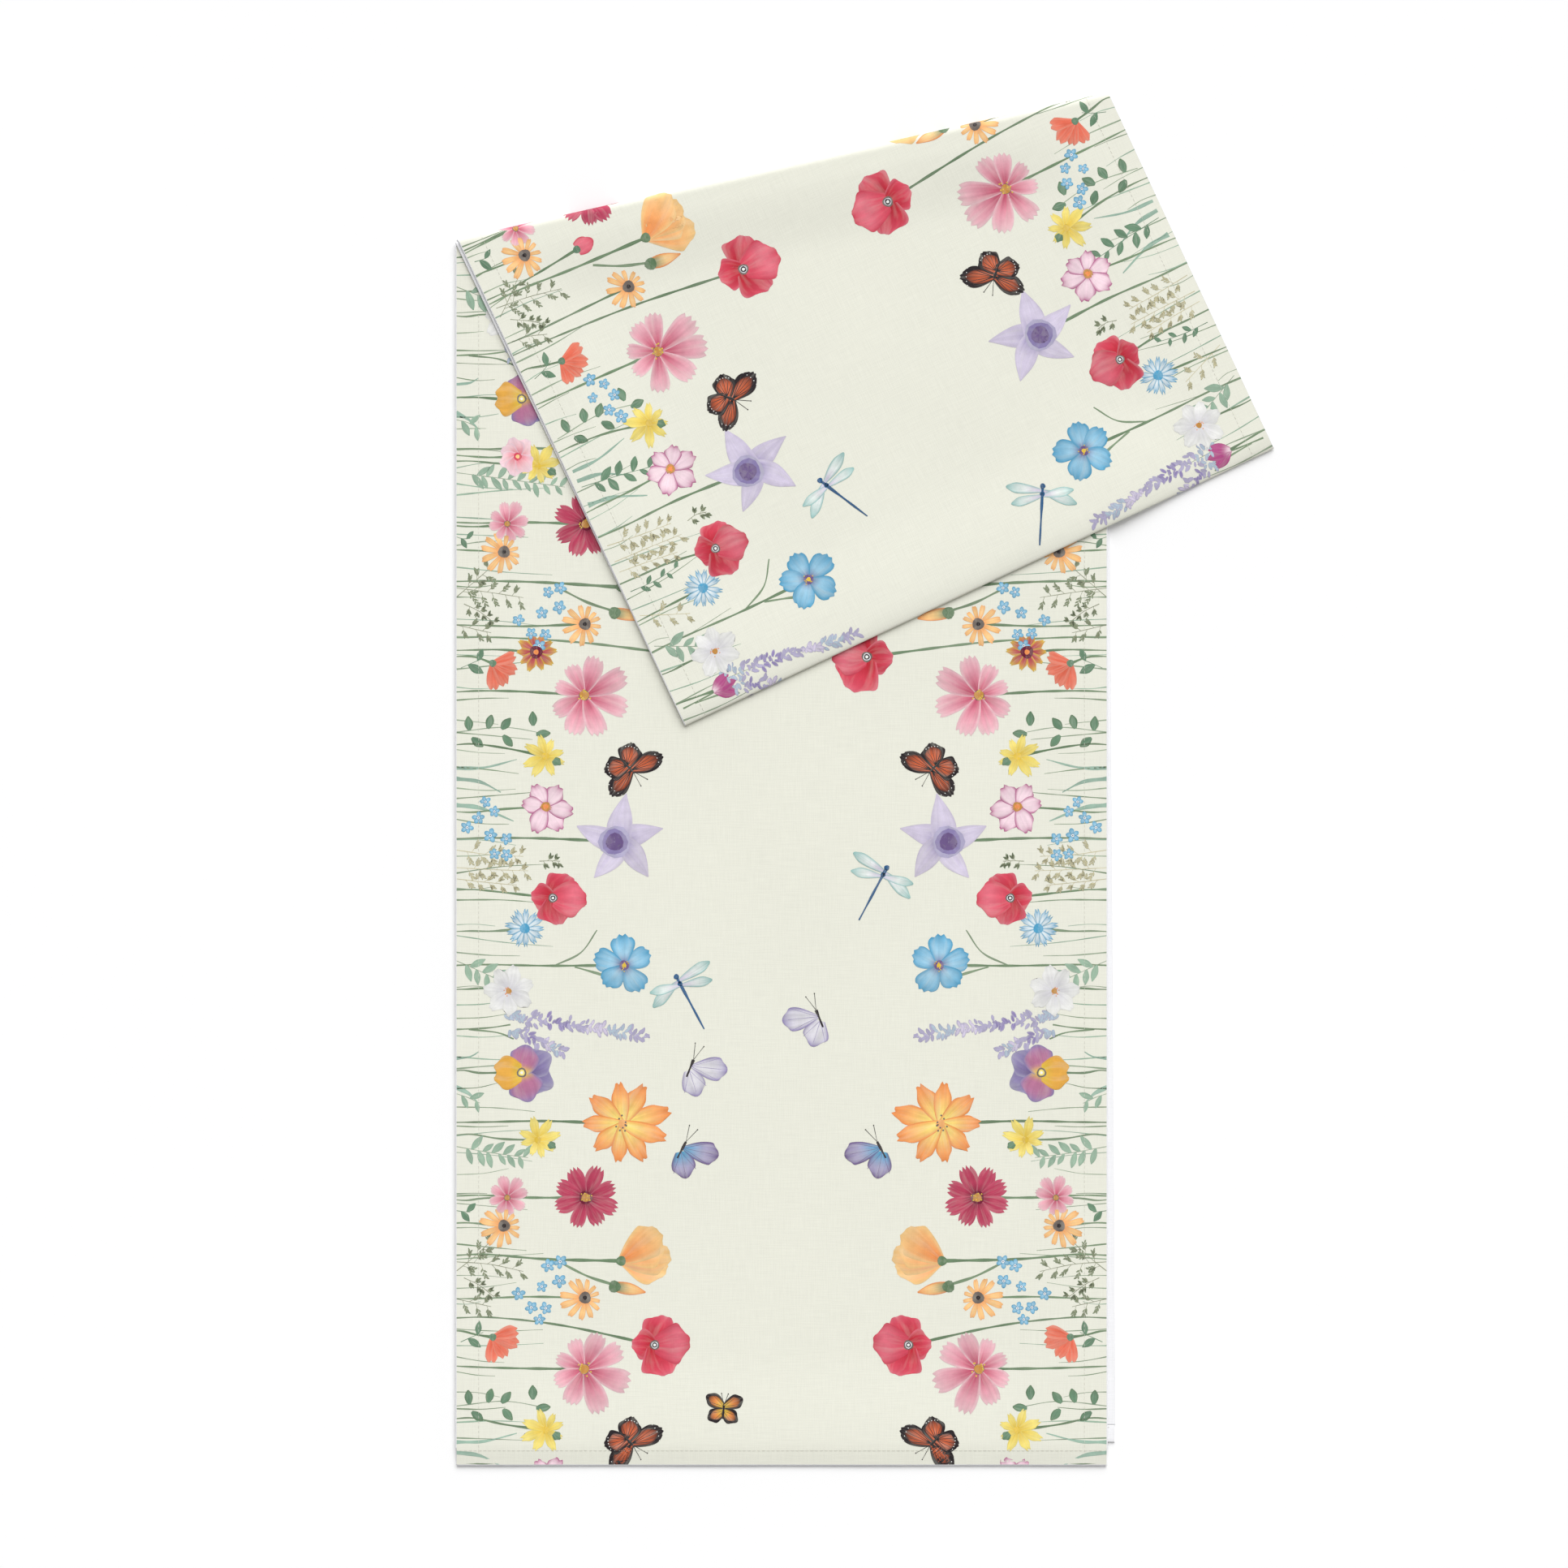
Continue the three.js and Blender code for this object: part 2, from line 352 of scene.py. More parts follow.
def flap_settled_height(plan, across, beyond_half_fold, crease_distance):
    """How far the flap's top layer settles on its under layer, between its own hems."""
    apart = smooth(beyond_half_fold / HALF_FOLD_SETTLING) * crease_rise(crease_distance)
    own_wave = 0.8 * in_millimetres("wave") * slow_waves(1.3 * plan[:, ::-1] + 40.0)
    return apart * (own_wave - in_millimetres("sag") * (1 - hem_rise(side_distance(across))))


def pucker_height(across, along):
    """Height of the small waves that the side seams draw up."""
    seam = side_distance(across) - in_millimetres("side_hem") + in_millimetres("seam_inset")
    waves = np.sin(along / 1.9 + 2 * np.sin(along / 31.0))
    return in_millimetres("pucker") * waves * np.exp(-((seam / PUCKER_REACH) ** 2))


def lay(folds, across, along, out):
    """Where points of the flat strip lie in the folded runner, in the row frame and in metres."""
    across, along, out = (np.asarray(values, float) for values in (across, along, out))
    plan = np.column_stack([across, along])
    height = np.full(len(plan), UPPER_HEIGHT)
    printed = np.tile([0.0, 0.0, 1.0], (len(plan), 1))
    ahead = np.ones(len(plan), bool)
    beyond_half_fold = np.full(len(plan), -1.0)
    passed = np.zeros(len(plan))
    for index, fold in enumerate(folds):
        arc = fold.arc(plan)
        bent = ahead & (arc > 0)
        reached = np.clip(arc, 0, fold.length)
        line = fold.sample(reached, fold.line)
        tangent = fold.sample(reached, fold.tangent)
        inside = line[:, 0] + np.maximum(arc - fold.length, 0)
        move = inside - (plan - fold.edge) @ fold.inward
        if index == 0:
            nested = CREASE_NESTING * (1 - hem_rise(side_distance(across)))
            near = smooth(1 - np.abs(arc - fold.length / 2) / CREASE_BAND)
            plan -= np.outer(nested * near * ahead, fold.inward)
        if index == 1:
            beyond_half_fold = np.where(bent, arc - fold.length, -1.0)
        plan[bent] += np.outer(move, fold.inward)[bent]
        height[bent] = line[bent, 1]
        normal = fold.side * np.column_stack([np.outer(tangent[:, 1], fold.inward), -tangent[:, 0]])
        printed[bent] = normal[bent]
        passed += ahead * np.clip(arc / fold.length, 0, 1)
        ahead &= arc >= fold.length
    crease_distance = (plan - folds[0].edge) @ folds[0].inward
    # Only what is less than half way round the last fold lies on other cloth.
    on_cloth = passed < len(folds) - 0.5
    height += on_cloth * settled_height(plan, crease_distance)
    height += on_cloth * flap_settled_height(plan, across, beyond_half_fold, crease_distance)
    height += pucker_height(across, along)
    place = np.column_stack([plan, height]) + printed * out[:, None]
    place[:, :2] += np.array(strip_corner[:2])
    return place * MM


class Row:
    """A line over the flat strip, given by where it meets the left and the right edge."""

    def __init__(self, left, right):
        self.left, self.right = left, right

    def along(self, across):
        return self.left + (self.right - self.left) * np.asarray(across) / WIDTH


def bend_row(folds, fold, arc):
    """The row where that much cloth has gone into a fold."""
    ends = []
    for across in (0.0, WIDTH):
        arcs = []
        for along in (0.0, 1.0):
            plan = np.array([[across, along]])
            for earlier in folds[: folds.index(fold)]:
                plan = earlier.turned_back(plan)
            arcs.append(fold.arc(plan)[0])
        ends.append((arc - arcs[0]) / (arcs[1] - arcs[0]))
    return Row(*ends)


def filled(rows, step=GRID):
    """The rows, with more between them wherever they are further apart than step."""
    result = [rows[0]]
    for before, after in zip(rows, rows[1:]):
        widest = max(after.left - before.left, after.right - before.right)
        count = max(1, math.ceil(widest / step))
        for index in range(1, count + 1):
            share = index / count
            left = before.left + share * (after.left - before.left)
            right = before.right + share * (after.right - before.right)
            result.append(Row(left, right))
    return result


def bend_arcs(fold):
    """Where rows go round a bend, closer together at its nose."""
    nose = fold.arcs[np.argmin(fold.line[:, 0])]
    tight = 0.12 if fold.length < 5 else 0.5
    near = np.arange(-8, 9) * tight + nose
    far = np.linspace(-CREASE_BAND, fold.length + CREASE_BAND, 31)
    far = far[np.abs(far - nose) > 8.6 * tight]
    return sorted([*near, *far])


def stretches(folds):
    """The rows of each stretch of the strip, in order, with the bodies that it moves with."""
    inner, half, outer = folds
    inner_rows, half_rows, outer_rows = (
        [bend_row(folds, fold, arc) for arc in bend_arcs(fold)] for fold in (inner, half, outer)
    )
    edge = ply()
    upper_end = Row(edge, edge)
    lower_end = Row(STRIP_LENGTH - edge, STRIP_LENGTH - edge)
    return {
        "upper_layer": ("base", filled([upper_end, inner_rows[0]])),
        "inner_crease": ("crease", inner_rows),
        "flap": ("flap", filled([inner_rows[-1], *half_rows, outer_rows[0]])),
        "outer_crease": ("crease", outer_rows),
        "lower_layer": ("base", filled([outer_rows[-1], lower_end])),
    }


CAD_CLOTH = {
    "upper_layer": ["upper_layer"],
    "flap": ["flap_under_layer", "half_fold", "flap_top_layer"],
    "lower_layer": ["lower_layer"],
}
CAD_HEMS = {
    "upper_layer": ["upper_hem"],
    "flap": ["flap_under_hem", "half_fold_hem", "flap_top_hem"],
    "lower_layer": ["lower_hem"],
}
CAD_SEAMS = {"upper_layer": "upper", "flap": "flap", "lower_layer": "lower"}


# --- Meshes ---------------------------------------------------------------------------------------


def add_vectors(mesh, name, values):
    """Gives each point of a mesh a vector of that name."""
    layer = mesh.attributes.new(name, "FLOAT_VECTOR", "POINT")
    layer.data.foreach_set("vector", np.asarray(values, np.float32).ravel())


def mesh_object(name, places, faces, materials, indices=None, flat=None, bake=None, sharp_angle=None):
    """A new object of a mesh in the row frame. flat is each corner's place on the cloth, and bake its UV."""
    mesh = bpy.data.meshes.new(name)
    mesh.from_pydata(places.tolist(), [], faces.tolist() if isinstance(faces, np.ndarray) else faces)
    for material in materials:
        mesh.materials.append(material)
    if indices is not None:
        mesh.polygons.foreach_set("material_index", np.asarray(indices, np.int32))
    if flat is not None:
        add_vectors(mesh, "cloth", flat)
    if bake is not None:
        corners = np.zeros(len(mesh.loops), np.int32)
        mesh.loops.foreach_get("vertex_index", corners)
        layer = mesh.uv_layers.new(name="OFBake")
        layer.uv.foreach_set("vector", np.asarray(bake, np.float32)[corners].ravel())
    mesh.shade_smooth()
    if sharp_angle is not None:
        mesh.set_sharp_from_angle(angle=sharp_angle)
    mesh.update()
    made = bpy.data.objects.new(name, mesh)
    bpy.context.scene.collection.objects.link(made)
    return made


def attach(piece, body):
    """Moves the piece with its body, or, where it crosses a crease, leaves it unparented with its transform
    baked into the mesh.
    """
    if body == "crease":
        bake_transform(piece)
    else:
        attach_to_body(piece, body)


def grid_faces(rows, columns, start=0):
    """Quads of a grid of points that is counted row by row."""
    first = (np.arange(rows - 1)[:, None] * columns + np.arange(columns - 1)[None, :]).ravel() + start
    return np.column_stack([first, first + 1, first + columns + 1, first + columns])


def cloth_sheet(folds, name, rows, body):
    """One stretch of the cloth, printed on one side, as a thin closed sheet."""
    half_cloth = in_millimetres("cloth") / 2
    edge = ply()
    columns = np.linspace(edge, WIDTH - edge, math.ceil(WIDTH / GRID) + 1)
    along = np.array([row.along(columns) for row in rows])
    across = np.tile(columns, (len(rows), 1))
    count = across.size
    flat = np.column_stack([across.ravel(), along.ravel(), np.zeros(count)])
    faces_out = (half_cloth, -half_cloth)
    places = np.concatenate([lay(folds, flat[:, 0], flat[:, 1], np.full(count, out)) for out in faces_out])
    top = grid_faces(len(rows), len(columns))
    bottom = top[:, ::-1] + count
    index = np.arange(count).reshape(len(rows), len(columns))
    border = np.concatenate([index[0, :-1], index[:-1, -1], index[-1, :0:-1], index[:0:-1, 0]])
    after = np.roll(border, -1)
    rim = np.column_stack([after, border, border + count, after + count])
    faces = np.concatenate([top, bottom, rim])
    sides = np.concatenate([np.zeros(len(top), int), np.ones(len(bottom) + len(rim), int)])
    low, high = along.min(), along.max()
    u, v = flat[:, 0] / WIDTH, (flat[:, 1] - low) / (high - low)
    bake = np.concatenate([np.column_stack([0.49 * u, v]), np.column_stack([0.51 + 0.49 * u, v])])
    materials = [printed_cloth_material(), reverse_material()]
    piece = mesh_object(
        f"{name}_cloth", places, faces, materials, sides, np.concatenate([flat, flat]), bake, math.radians(50)
    )
    attach(piece, body)
    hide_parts(*CAD_CLOTH.get(name, []))
    mean_along = along.mean(1)
    return piece, (float(columns[-1] - columns[0]) * MM, float(mean_along[-1] - mean_along[0]) * MM)


def hem_section(width):
    """Two lines, in front of and behind the middle of a hem's cloth, from the finished edge inwards.

    The cloth turns under at the edge, runs in to the hem's width, turns back and ends short of the edge.
    Points are (distance from the edge, out).
    """
    step = ply()
    half_cloth = in_millimetres("cloth") / 2
    arc = np.linspace(0.5 * math.pi, 1.5 * math.pi, 9)
    outer = np.column_stack([step + step * np.cos(arc), -step + step * np.sin(arc)])
    inner_turn = width - step
    runs = np.linspace(step, inner_turn, 5)[1:-1]
    under = np.column_stack([runs, np.full(len(runs), -2 * step)])
    arc = np.linspace(-0.5 * math.pi, 0.5 * math.pi, 7)
    inner = np.column_stack([inner_turn + step / 2 * np.cos(arc), -1.5 * step + step / 2 * np.sin(arc)])
    back = np.array([[0.66 * width, -step], [0.33 * width, -step], [2.2 * step, -step]])
    middle = np.concatenate([outer, under, inner, back])
    tangent = np.gradient(middle, axis=0)
    tangent /= np.linalg.norm(tangent, axis=1)[:, None]
    normal = np.column_stack([tangent[:, 1], -tangent[:, 0]])
    return middle + normal * half_cloth, middle - normal * half_cloth


def hem_strip(name, section, runs, place, flip):
    """A closed strip of turned cloth: a section of (inset, out) points carried along runs.

    place turns an inset, a run and an out into points of the row frame and points on the cloth.
    """
    front, behind = section
    loop = np.concatenate([front, behind[::-1]])
    size = len(loop)
    insets = np.tile(loop[:, 0], len(runs))
    outs = np.tile(loop[:, 1], len(runs))
    stations = np.repeat(np.arange(len(runs)), size)
    places, flat = place(insets, stations, outs)
    first = (np.arange(len(runs) - 1)[:, None] * size + np.arange(size)[None, :]).ravel()
    after = (np.arange(len(runs) - 1)[:, None] * size + (np.arange(size)[None, :] + 1) % size).ravel()
    around = np.column_stack([first, after, after + size, first + size])
    pairs = np.arange(len(front) - 1)
    cap = np.column_stack([pairs, size - 1 - pairs, size - 2 - pairs, pairs + 1])
    faces = np.concatenate([around, cap, cap[:, ::-1] + (len(runs) - 1) * size])
    if flip:
        faces = faces[:, ::-1]
    share = np.arange(size) / size
    bake = np.column_stack([np.tile(share, len(runs)), stations / max(1, len(runs) - 1)])
    return mesh_object(name, places, faces, [reverse_material()], None, flat, bake, math.radians(50))


def side_hem(folds, name, rows, body, side):
    """The turned-under strip along one side of a stretch."""
    width = in_millimetres("side_hem")

    def place(insets, stations, outs):
        across = insets if side == "left" else WIDTH - insets
        ends = np.array([[row.left, row.right] for row in rows])[stations]
        along = ends[:, 0] + (ends[:, 1] - ends[:, 0]) * across / WIDTH
        # The turned-under plies are the same cloth, so its weave runs on round the edge.
        return lay(folds, across, along, outs), np.column_stack([across + TURNED_WEAVE * outs, along, outs])

    piece = hem_strip(f"{name}_hem_{side}", hem_section(width), rows, place, flip=side == "right")
    attach(piece, body)
    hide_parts(*[f"{node}_{side}" for node in CAD_HEMS.get(name, [])])
    return piece


def end_hem(folds, name, end):
    """The turned-under strip at the upper or the lower end, which rides on the base."""
    step = ply()
    runs = np.linspace(step, WIDTH - step, math.ceil(WIDTH / GRID) + 1)

    def place(insets, stations, outs):
        across = runs[stations]
        along = insets if end == 0 else end - insets
        return lay(folds, across, along, outs), np.column_stack([across, along + TURNED_WEAVE * outs, outs])

    section = hem_section(in_millimetres("end_hem"))
    piece = hem_strip(f"{name}_hem_end", section, runs, place, flip=end == 0)
    attach(piece, "base")
    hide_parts(f"{name.split('_')[0]}_hem_end")
    return piece


def stitches(folds, name, centres, headings, out, facing, body, nodes):
    """A row of stitches that stand proud of a ply at their middles and dive into it at their ends."""
    half_length = in_millimetres("stitch") / 2
    radius = in_millimetres("thread") / 2
    stations = np.linspace(-1.0, 1.0, 7)
    around = np.linspace(0.0, 2 * math.pi, 6, endpoint=False)
    girth = radius * (0.35 + 0.65 * np.sqrt(1 - stations**2))
    lift = facing * (0.75 * radius * (1 - stations**2) - 0.5 * radius)
    length_at = np.repeat(stations * half_length, len(around))
    side_at = np.outer(girth, np.cos(around)).ravel()
    out_at = (lift[:, None] + np.outer(girth, np.sin(around))).ravel()
    cross = np.column_stack([-headings[:, 1], headings[:, 0]])
    flat = (
        centres[:, None, :]
        + headings[:, None, :] * length_at[None, :, None]
        + cross[:, None, :] * side_at[None, :, None]
    ).reshape(-1, 2)
    outs = out + np.tile(out_at, len(centres))
    places = lay(folds, flat[:, 0], flat[:, 1], outs)
    size = len(around)
    ring = np.arange(size)
    first = (np.arange(len(stations) - 1)[:, None] * size + ring[None, :]).ravel()
    after = (np.arange(len(stations) - 1)[:, None] * size + ((ring + 1) % size)[None, :]).ravel()
    one = np.column_stack([first, first + size, after + size, after])
    each = len(stations) * size
    starts = np.arange(len(centres)) * each
    faces = (one[None, :, :] + starts[:, None, None]).reshape(-1, 4).tolist()
    last = (len(stations) - 1) * size
    for start in starts.tolist():
        faces.append([start + corner for corner in range(size)])
        faces.append([start + last + corner for corner in reversed(range(size))])
    cloth_places = np.column_stack([flat, outs])
    piece = mesh_object(name, places, faces, [thread_material()], None, cloth_places, None, None)
    attach(piece, body)
    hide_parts(*nodes)


def stitch_levels():
    """How far out of the cloth's middle the needle and the bobbin thread lie, and which way they face."""
    half_cloth = in_millimetres("cloth") / 2
    return {"needle": (half_cloth, 1), "bobbin": (-2 * ply() - half_cloth, -1)}


def seam(folds, name, centres, way, body, edge):
    """The needle and bobbin stitches of a seam, which all run the same way over the cloth."""
    headings = np.tile(way, (len(centres), 1))
    for thread, (out, facing) in stitch_levels().items():
        nodes = [f"{CAD_SEAMS[name]}_{thread}_thread_{edge}"] if name in CAD_SEAMS else []
        stitches(folds, f"{name}_{thread}_stitches_{edge}", centres, headings, out, facing, body, nodes)


def side_seam(folds, name, rows, body, side):
    """The stitches along one side of a stretch."""
    pitch = in_millimetres("stitch") + in_millimetres("stitch_gap")
    inset = in_millimetres("side_hem") - in_millimetres("seam_inset")
    across = inset if side == "left" else WIDTH - inset
    low, high = rows[0].along(across), rows[-1].along(across)
    along = np.arange(math.ceil(low / pitch), math.floor(high / pitch) + 1) * pitch
    first = in_millimetres("end_hem") * 0.8
    along = along[(along > first) & (along < STRIP_LENGTH - first)]
    seam(folds, name, np.column_stack([np.full(len(along), across), along]), [0.0, 1.0], body, side)


def end_seam(folds, name, end):
    """The stitches across an end hem."""
    pitch = in_millimetres("stitch") + in_millimetres("stitch_gap")
    inset = in_millimetres("end_hem") - in_millimetres("seam_inset")
    across = np.arange(1, math.floor(WIDTH / pitch)) * pitch
    along = np.full(len(across), inset if end == 0 else end - inset)
    seam(folds, name, np.column_stack([across, along]), [1.0, 0.0], "base", "end")


# --- Materials ------------------------------------------------------------------------------------


def node(tree, kind, inputs=None, **settings):
    """A new shader node. Inputs are values or the outputs of other nodes."""
    made = tree.nodes.new(kind)
    for name, value in settings.items():
        setattr(made, name, value)
    for socket, value in (inputs or {}).items():
        if isinstance(value, bpy.types.NodeSocket):
            tree.links.new(value, made.inputs[socket])
        else:
            made.inputs[socket].default_value = value
    return made


def math_node(tree, operation, first, second=0.0, third=0.0):
    return node(tree, "ShaderNodeMath", {0: first, 1: second, 2: third}, operation=operation).outputs[0]


def scaled_vector(tree, vector, scale):
    return node(tree, "ShaderNodeVectorMath", {0: vector, 1: scale}, operation="MULTIPLY").outputs[0]


def noise(tree, vector, scale, detail=2.0):
    inputs = {"Vector": vector, "Scale": scale, "Detail": detail, "Roughness": 0.55}
    return node(tree, "ShaderNodeTexNoise", inputs, noise_dimensions="3D").outputs["Fac"]


def between(tree, value, low, high):
    """Carries a share from 0..1 to low..high, without clamping."""
    return math_node(tree, "MULTIPLY_ADD", value, high - low, low)


def brightened(tree, tint, factor):
    return node(tree, "ShaderNodeVectorMath", {0: tint, "Scale": factor}, operation="SCALE").outputs[0]


def weave(tree):
    """Height of a plain weave of uneven yarns, and how light each place on its yarn is."""
    place = node(tree, "ShaderNodeAttribute", attribute_name="cloth").outputs["Vector"]
    yarn = in_millimetres("yarn")
    drift = noise(tree, place, 0.09)
    turns = 2 * math.pi / yarn
    split = node(tree, "ShaderNodeSeparateXYZ", {0: place})
    warp = math_node(tree, "SINE", math_node(tree, "MULTIPLY_ADD", split.outputs[0], turns, drift))
    weft = math_node(tree, "SINE", math_node(tree, "MULTIPLY_ADD", split.outputs[1], turns, drift))
    crossing = math_node(tree, "MULTIPLY", warp, weft)
    warp_slub = noise(tree, scaled_vector(tree, place, (1.5, 0.07, 1.0)), 1.0)
    weft_slub = noise(tree, scaled_vector(tree, place, (0.06, 1.5, 1.0)), 1.0)
    slub = math_node(tree, "ADD", warp_slub, weft_slub)
    height = math_node(tree, "MULTIPLY_ADD", slub, 0.9, math_node(tree, "MULTIPLY", crossing, 0.25))
    return place, height, slub


def cloth_shader(tree, base, height, roughness, sheen, bump=0.35):
    """Ends a cloth material: the shader with its weave as bump."""
    raised = node(tree, "ShaderNodeBump", {"Height": height, "Strength": bump, "Distance": 0.00012})
    inputs = {
        "Base Color": base,
        "Roughness": roughness,
        "Sheen Weight": sheen,
        "Sheen Roughness": 0.5,
        "Specular IOR Level": 0.25,
        "Normal": raised.outputs[0],
    }
    shader = node(tree, "ShaderNodeBsdfPrincipled", inputs)
    output = node(tree, "ShaderNodeOutputMaterial")
    tree.links.new(shader.outputs[0], output.inputs[0])


def material_once(name):
    """The material of that name, and whether it still has to be made."""
    found = bpy.data.materials.get(name)
    if found:
        return found, False
    made = bpy.data.materials.new(name)
    made.use_nodes = True
    made.node_tree.nodes.clear()
    return made, True


def woven_cloth_material(name, tint, sheen):
    """A plain weave of one colour: lighter and darker yarns, slow patches and a fine bump."""
    made, new = material_once(name)
    if not new:
        return made
    tree = made.node_tree
    place, height, slub = weave(tree)
    patches = noise(tree, place, 0.011, 3.0)
    factor = math_node(tree, "ADD", between(tree, slub, -0.06, 0.06), between(tree, patches, 0.985, 1.015))
    base = brightened(tree, tuple(tint), factor)
    cloth_shader(tree, base, height, between(tree, slub, 0.86, 0.9), sheen)
    return made


def printed_cloth_material():
    return woven_cloth_material("ivory_printed_cloth", bpy.context.scene.runner_colours.ground, 0.08)


def reverse_material():
    return woven_cloth_material("white_reverse", bpy.context.scene.runner_colours.reverse, 0.05)


def thread_material():
    """Twisted sewing thread: diagonal plies with painted shade in the grooves between them, slightly shiny.
    """
    made, new = material_once("sewing_thread")
    if not new:
        return made
    tree = made.node_tree
    place = node(tree, "ShaderNodeAttribute", attribute_name="cloth").outputs["Vector"]
    split = node(tree, "ShaderNodeSeparateXYZ", {0: place})
    twist = math_node(tree, "ADD", split.outputs[0], split.outputs[1])
    plies_and_groove_shade = math_node(tree, "SINE", math_node(tree, "MULTIPLY", twist, 2 * math.pi / 0.28))
    unevenness = between(tree, noise(tree, place, 0.6), -0.05, 0.05)
    # The colour darkens towards the grooves between the plies, the low places of the bump: painted shade.
    factor = math_node(tree, "ADD", between(tree, plies_and_groove_shade, 0.95, 1.0), unevenness)
    base = brightened(tree, tuple(bpy.context.scene.runner_colours.thread), factor)
    cloth_shader(tree, base, plies_and_groove_shade, between(tree, plies_and_groove_shade, 0.55, 0.6), 0.15, bump=0.5)
    return made


def ink_material(name, streaks, blotches, pooling):
    """Watercolour printed on the weave.

    Streaks run along each petal or leaf, blotches are where the wash has dried unevenly, and pooling is
    the darker pigment at the rim of a stroke.
    """
    made, new = material_once(name)
    if not new:
        return made
    tree = made.node_tree
    place, height, slub = weave(tree)
    tint = node(tree, "ShaderNodeAttribute", attribute_name="ink").outputs["Color"]
    petal = node(tree, "ShaderNodeAttribute", attribute_name="petal").outputs["Vector"]
    streak = noise(tree, scaled_vector(tree, petal, (3.4, 0.7, 9.1)), 1.0, 3.0)
    blotch = noise(tree, place, 0.16, 4.0)
    split = node(tree, "ShaderNodeSeparateXYZ", {0: petal})
    side = math_node(tree, "POWER", math_node(tree, "ABSOLUTE", split.outputs[0]), 6.0)
    tip = math_node(tree, "POWER", math_node(tree, "ABSOLUTE", split.outputs[1]), 9.0)
    rim = math_node(tree, "MAXIMUM", side, tip)
    factor = between(tree, streak, 1 + streaks, 1 - streaks)
    factor = math_node(tree, "MULTIPLY", factor, between(tree, blotch, 1 - blotches, 1 + blotches))
    factor = math_node(tree, "MULTIPLY", factor, between(tree, rim, 1.0, 1 - pooling))
    factor = math_node(tree, "MULTIPLY", factor, between(tree, slub, 0.96, 1.04))
    inked = brightened(tree, tint, factor)
    # Where the wash is thin, the ground shows through.
    washed = noise(tree, scaled_vector(tree, petal, (2.6, 0.9, 5.3)), 1.0, 3.0)
    thin = node(tree, "ShaderNodeMapRange", {0: washed, 1: 0.45, 2: 0.8, 3: 0.0, 4: 0.24})
    ground = (*bpy.context.scene.runner_colours.ground, 1.0)
    mixed = node(tree, "ShaderNodeMix", {0: thin.outputs[0], 6: inked, 7: ground}, data_type="RGBA")
    cloth_shader(tree, mixed.outputs[2], height, between(tree, slub, 0.84, 0.9), 0.05)
    return made


def print_materials():
    return [
        ink_material("greenery_ink", 0.22, 0.3, 0.12),
        ink_material("petal_ink", 0.2, 0.2, 0.14),
        ink_material("wing_ink", 0.3, 0.25, 0.1),
    ]


GREENERY, PETALS, WINGS = range(3)


# --- The printed border ---------------------------------------------------------------------------

REPEAT = 420.5  # of the border along the cloth
FLAP_DRIFT = np.array([3.5, -6.5])  # across and along, of the repeats that lie on the flap and beyond
INK_LIFT = 0.04  # of the lowest ink over the cloth
INK_STEP = 0.012  # from one layer of ink to the next
PETAL_STEP = 0.37  # from one petal of a flower to the next, in layers of ink
FLOWER_STEP = 0.09  # from one flower to the next, in layers of ink
GRASS_LEVEL, STEM_LEVEL, PETAL_LEVEL, EYE_LEVEL, WING_LEVEL, TOP_LEVEL = 0, 1, 3, 8, 9, 12
CUT_TOLERANCE = 1e-4


@dataclass
class Petal:
    """Outline of a petal, leaf or wing. width is its half width as a share of its length.

    root and tip are how wide it is at its ends, as shares of its widest, which is at belly. rounding draws
    the sides of its tip back, and notch cuts that many lobes into it.
    """

    width: float
    root: float = 0.3
    belly: float = 0.65
    tip: float = 0.6
    rounding: float = 0.2
    notch: float = 0.0
    lobes: float = 2.0


@dataclass
class Flower:
    """A flower seen from above or from the side, as a fan of petals round its middle."""

    petals: int
    petal: Petal
    inks: tuple  # at the petal's heart, over its body and along its rim
    reach: float = 0.5  # of the heart's ink along the petal
    rim: float = 6.0  # the higher, the narrower the rim
    spread: float = 360.0
    lean: float = 0.0  # how much longer the petals are on the side that it turns to
    eye: tuple = ()  # rings from the outside in, as ink and share of the radius
    dots: str = ""
    curl: float = 0.0  # how far the tips bend round to one side
    set_back: float = 0.0  # how far the eye is from the middle towards the edge of the cloth
    fine: int = 9  # points along a petal


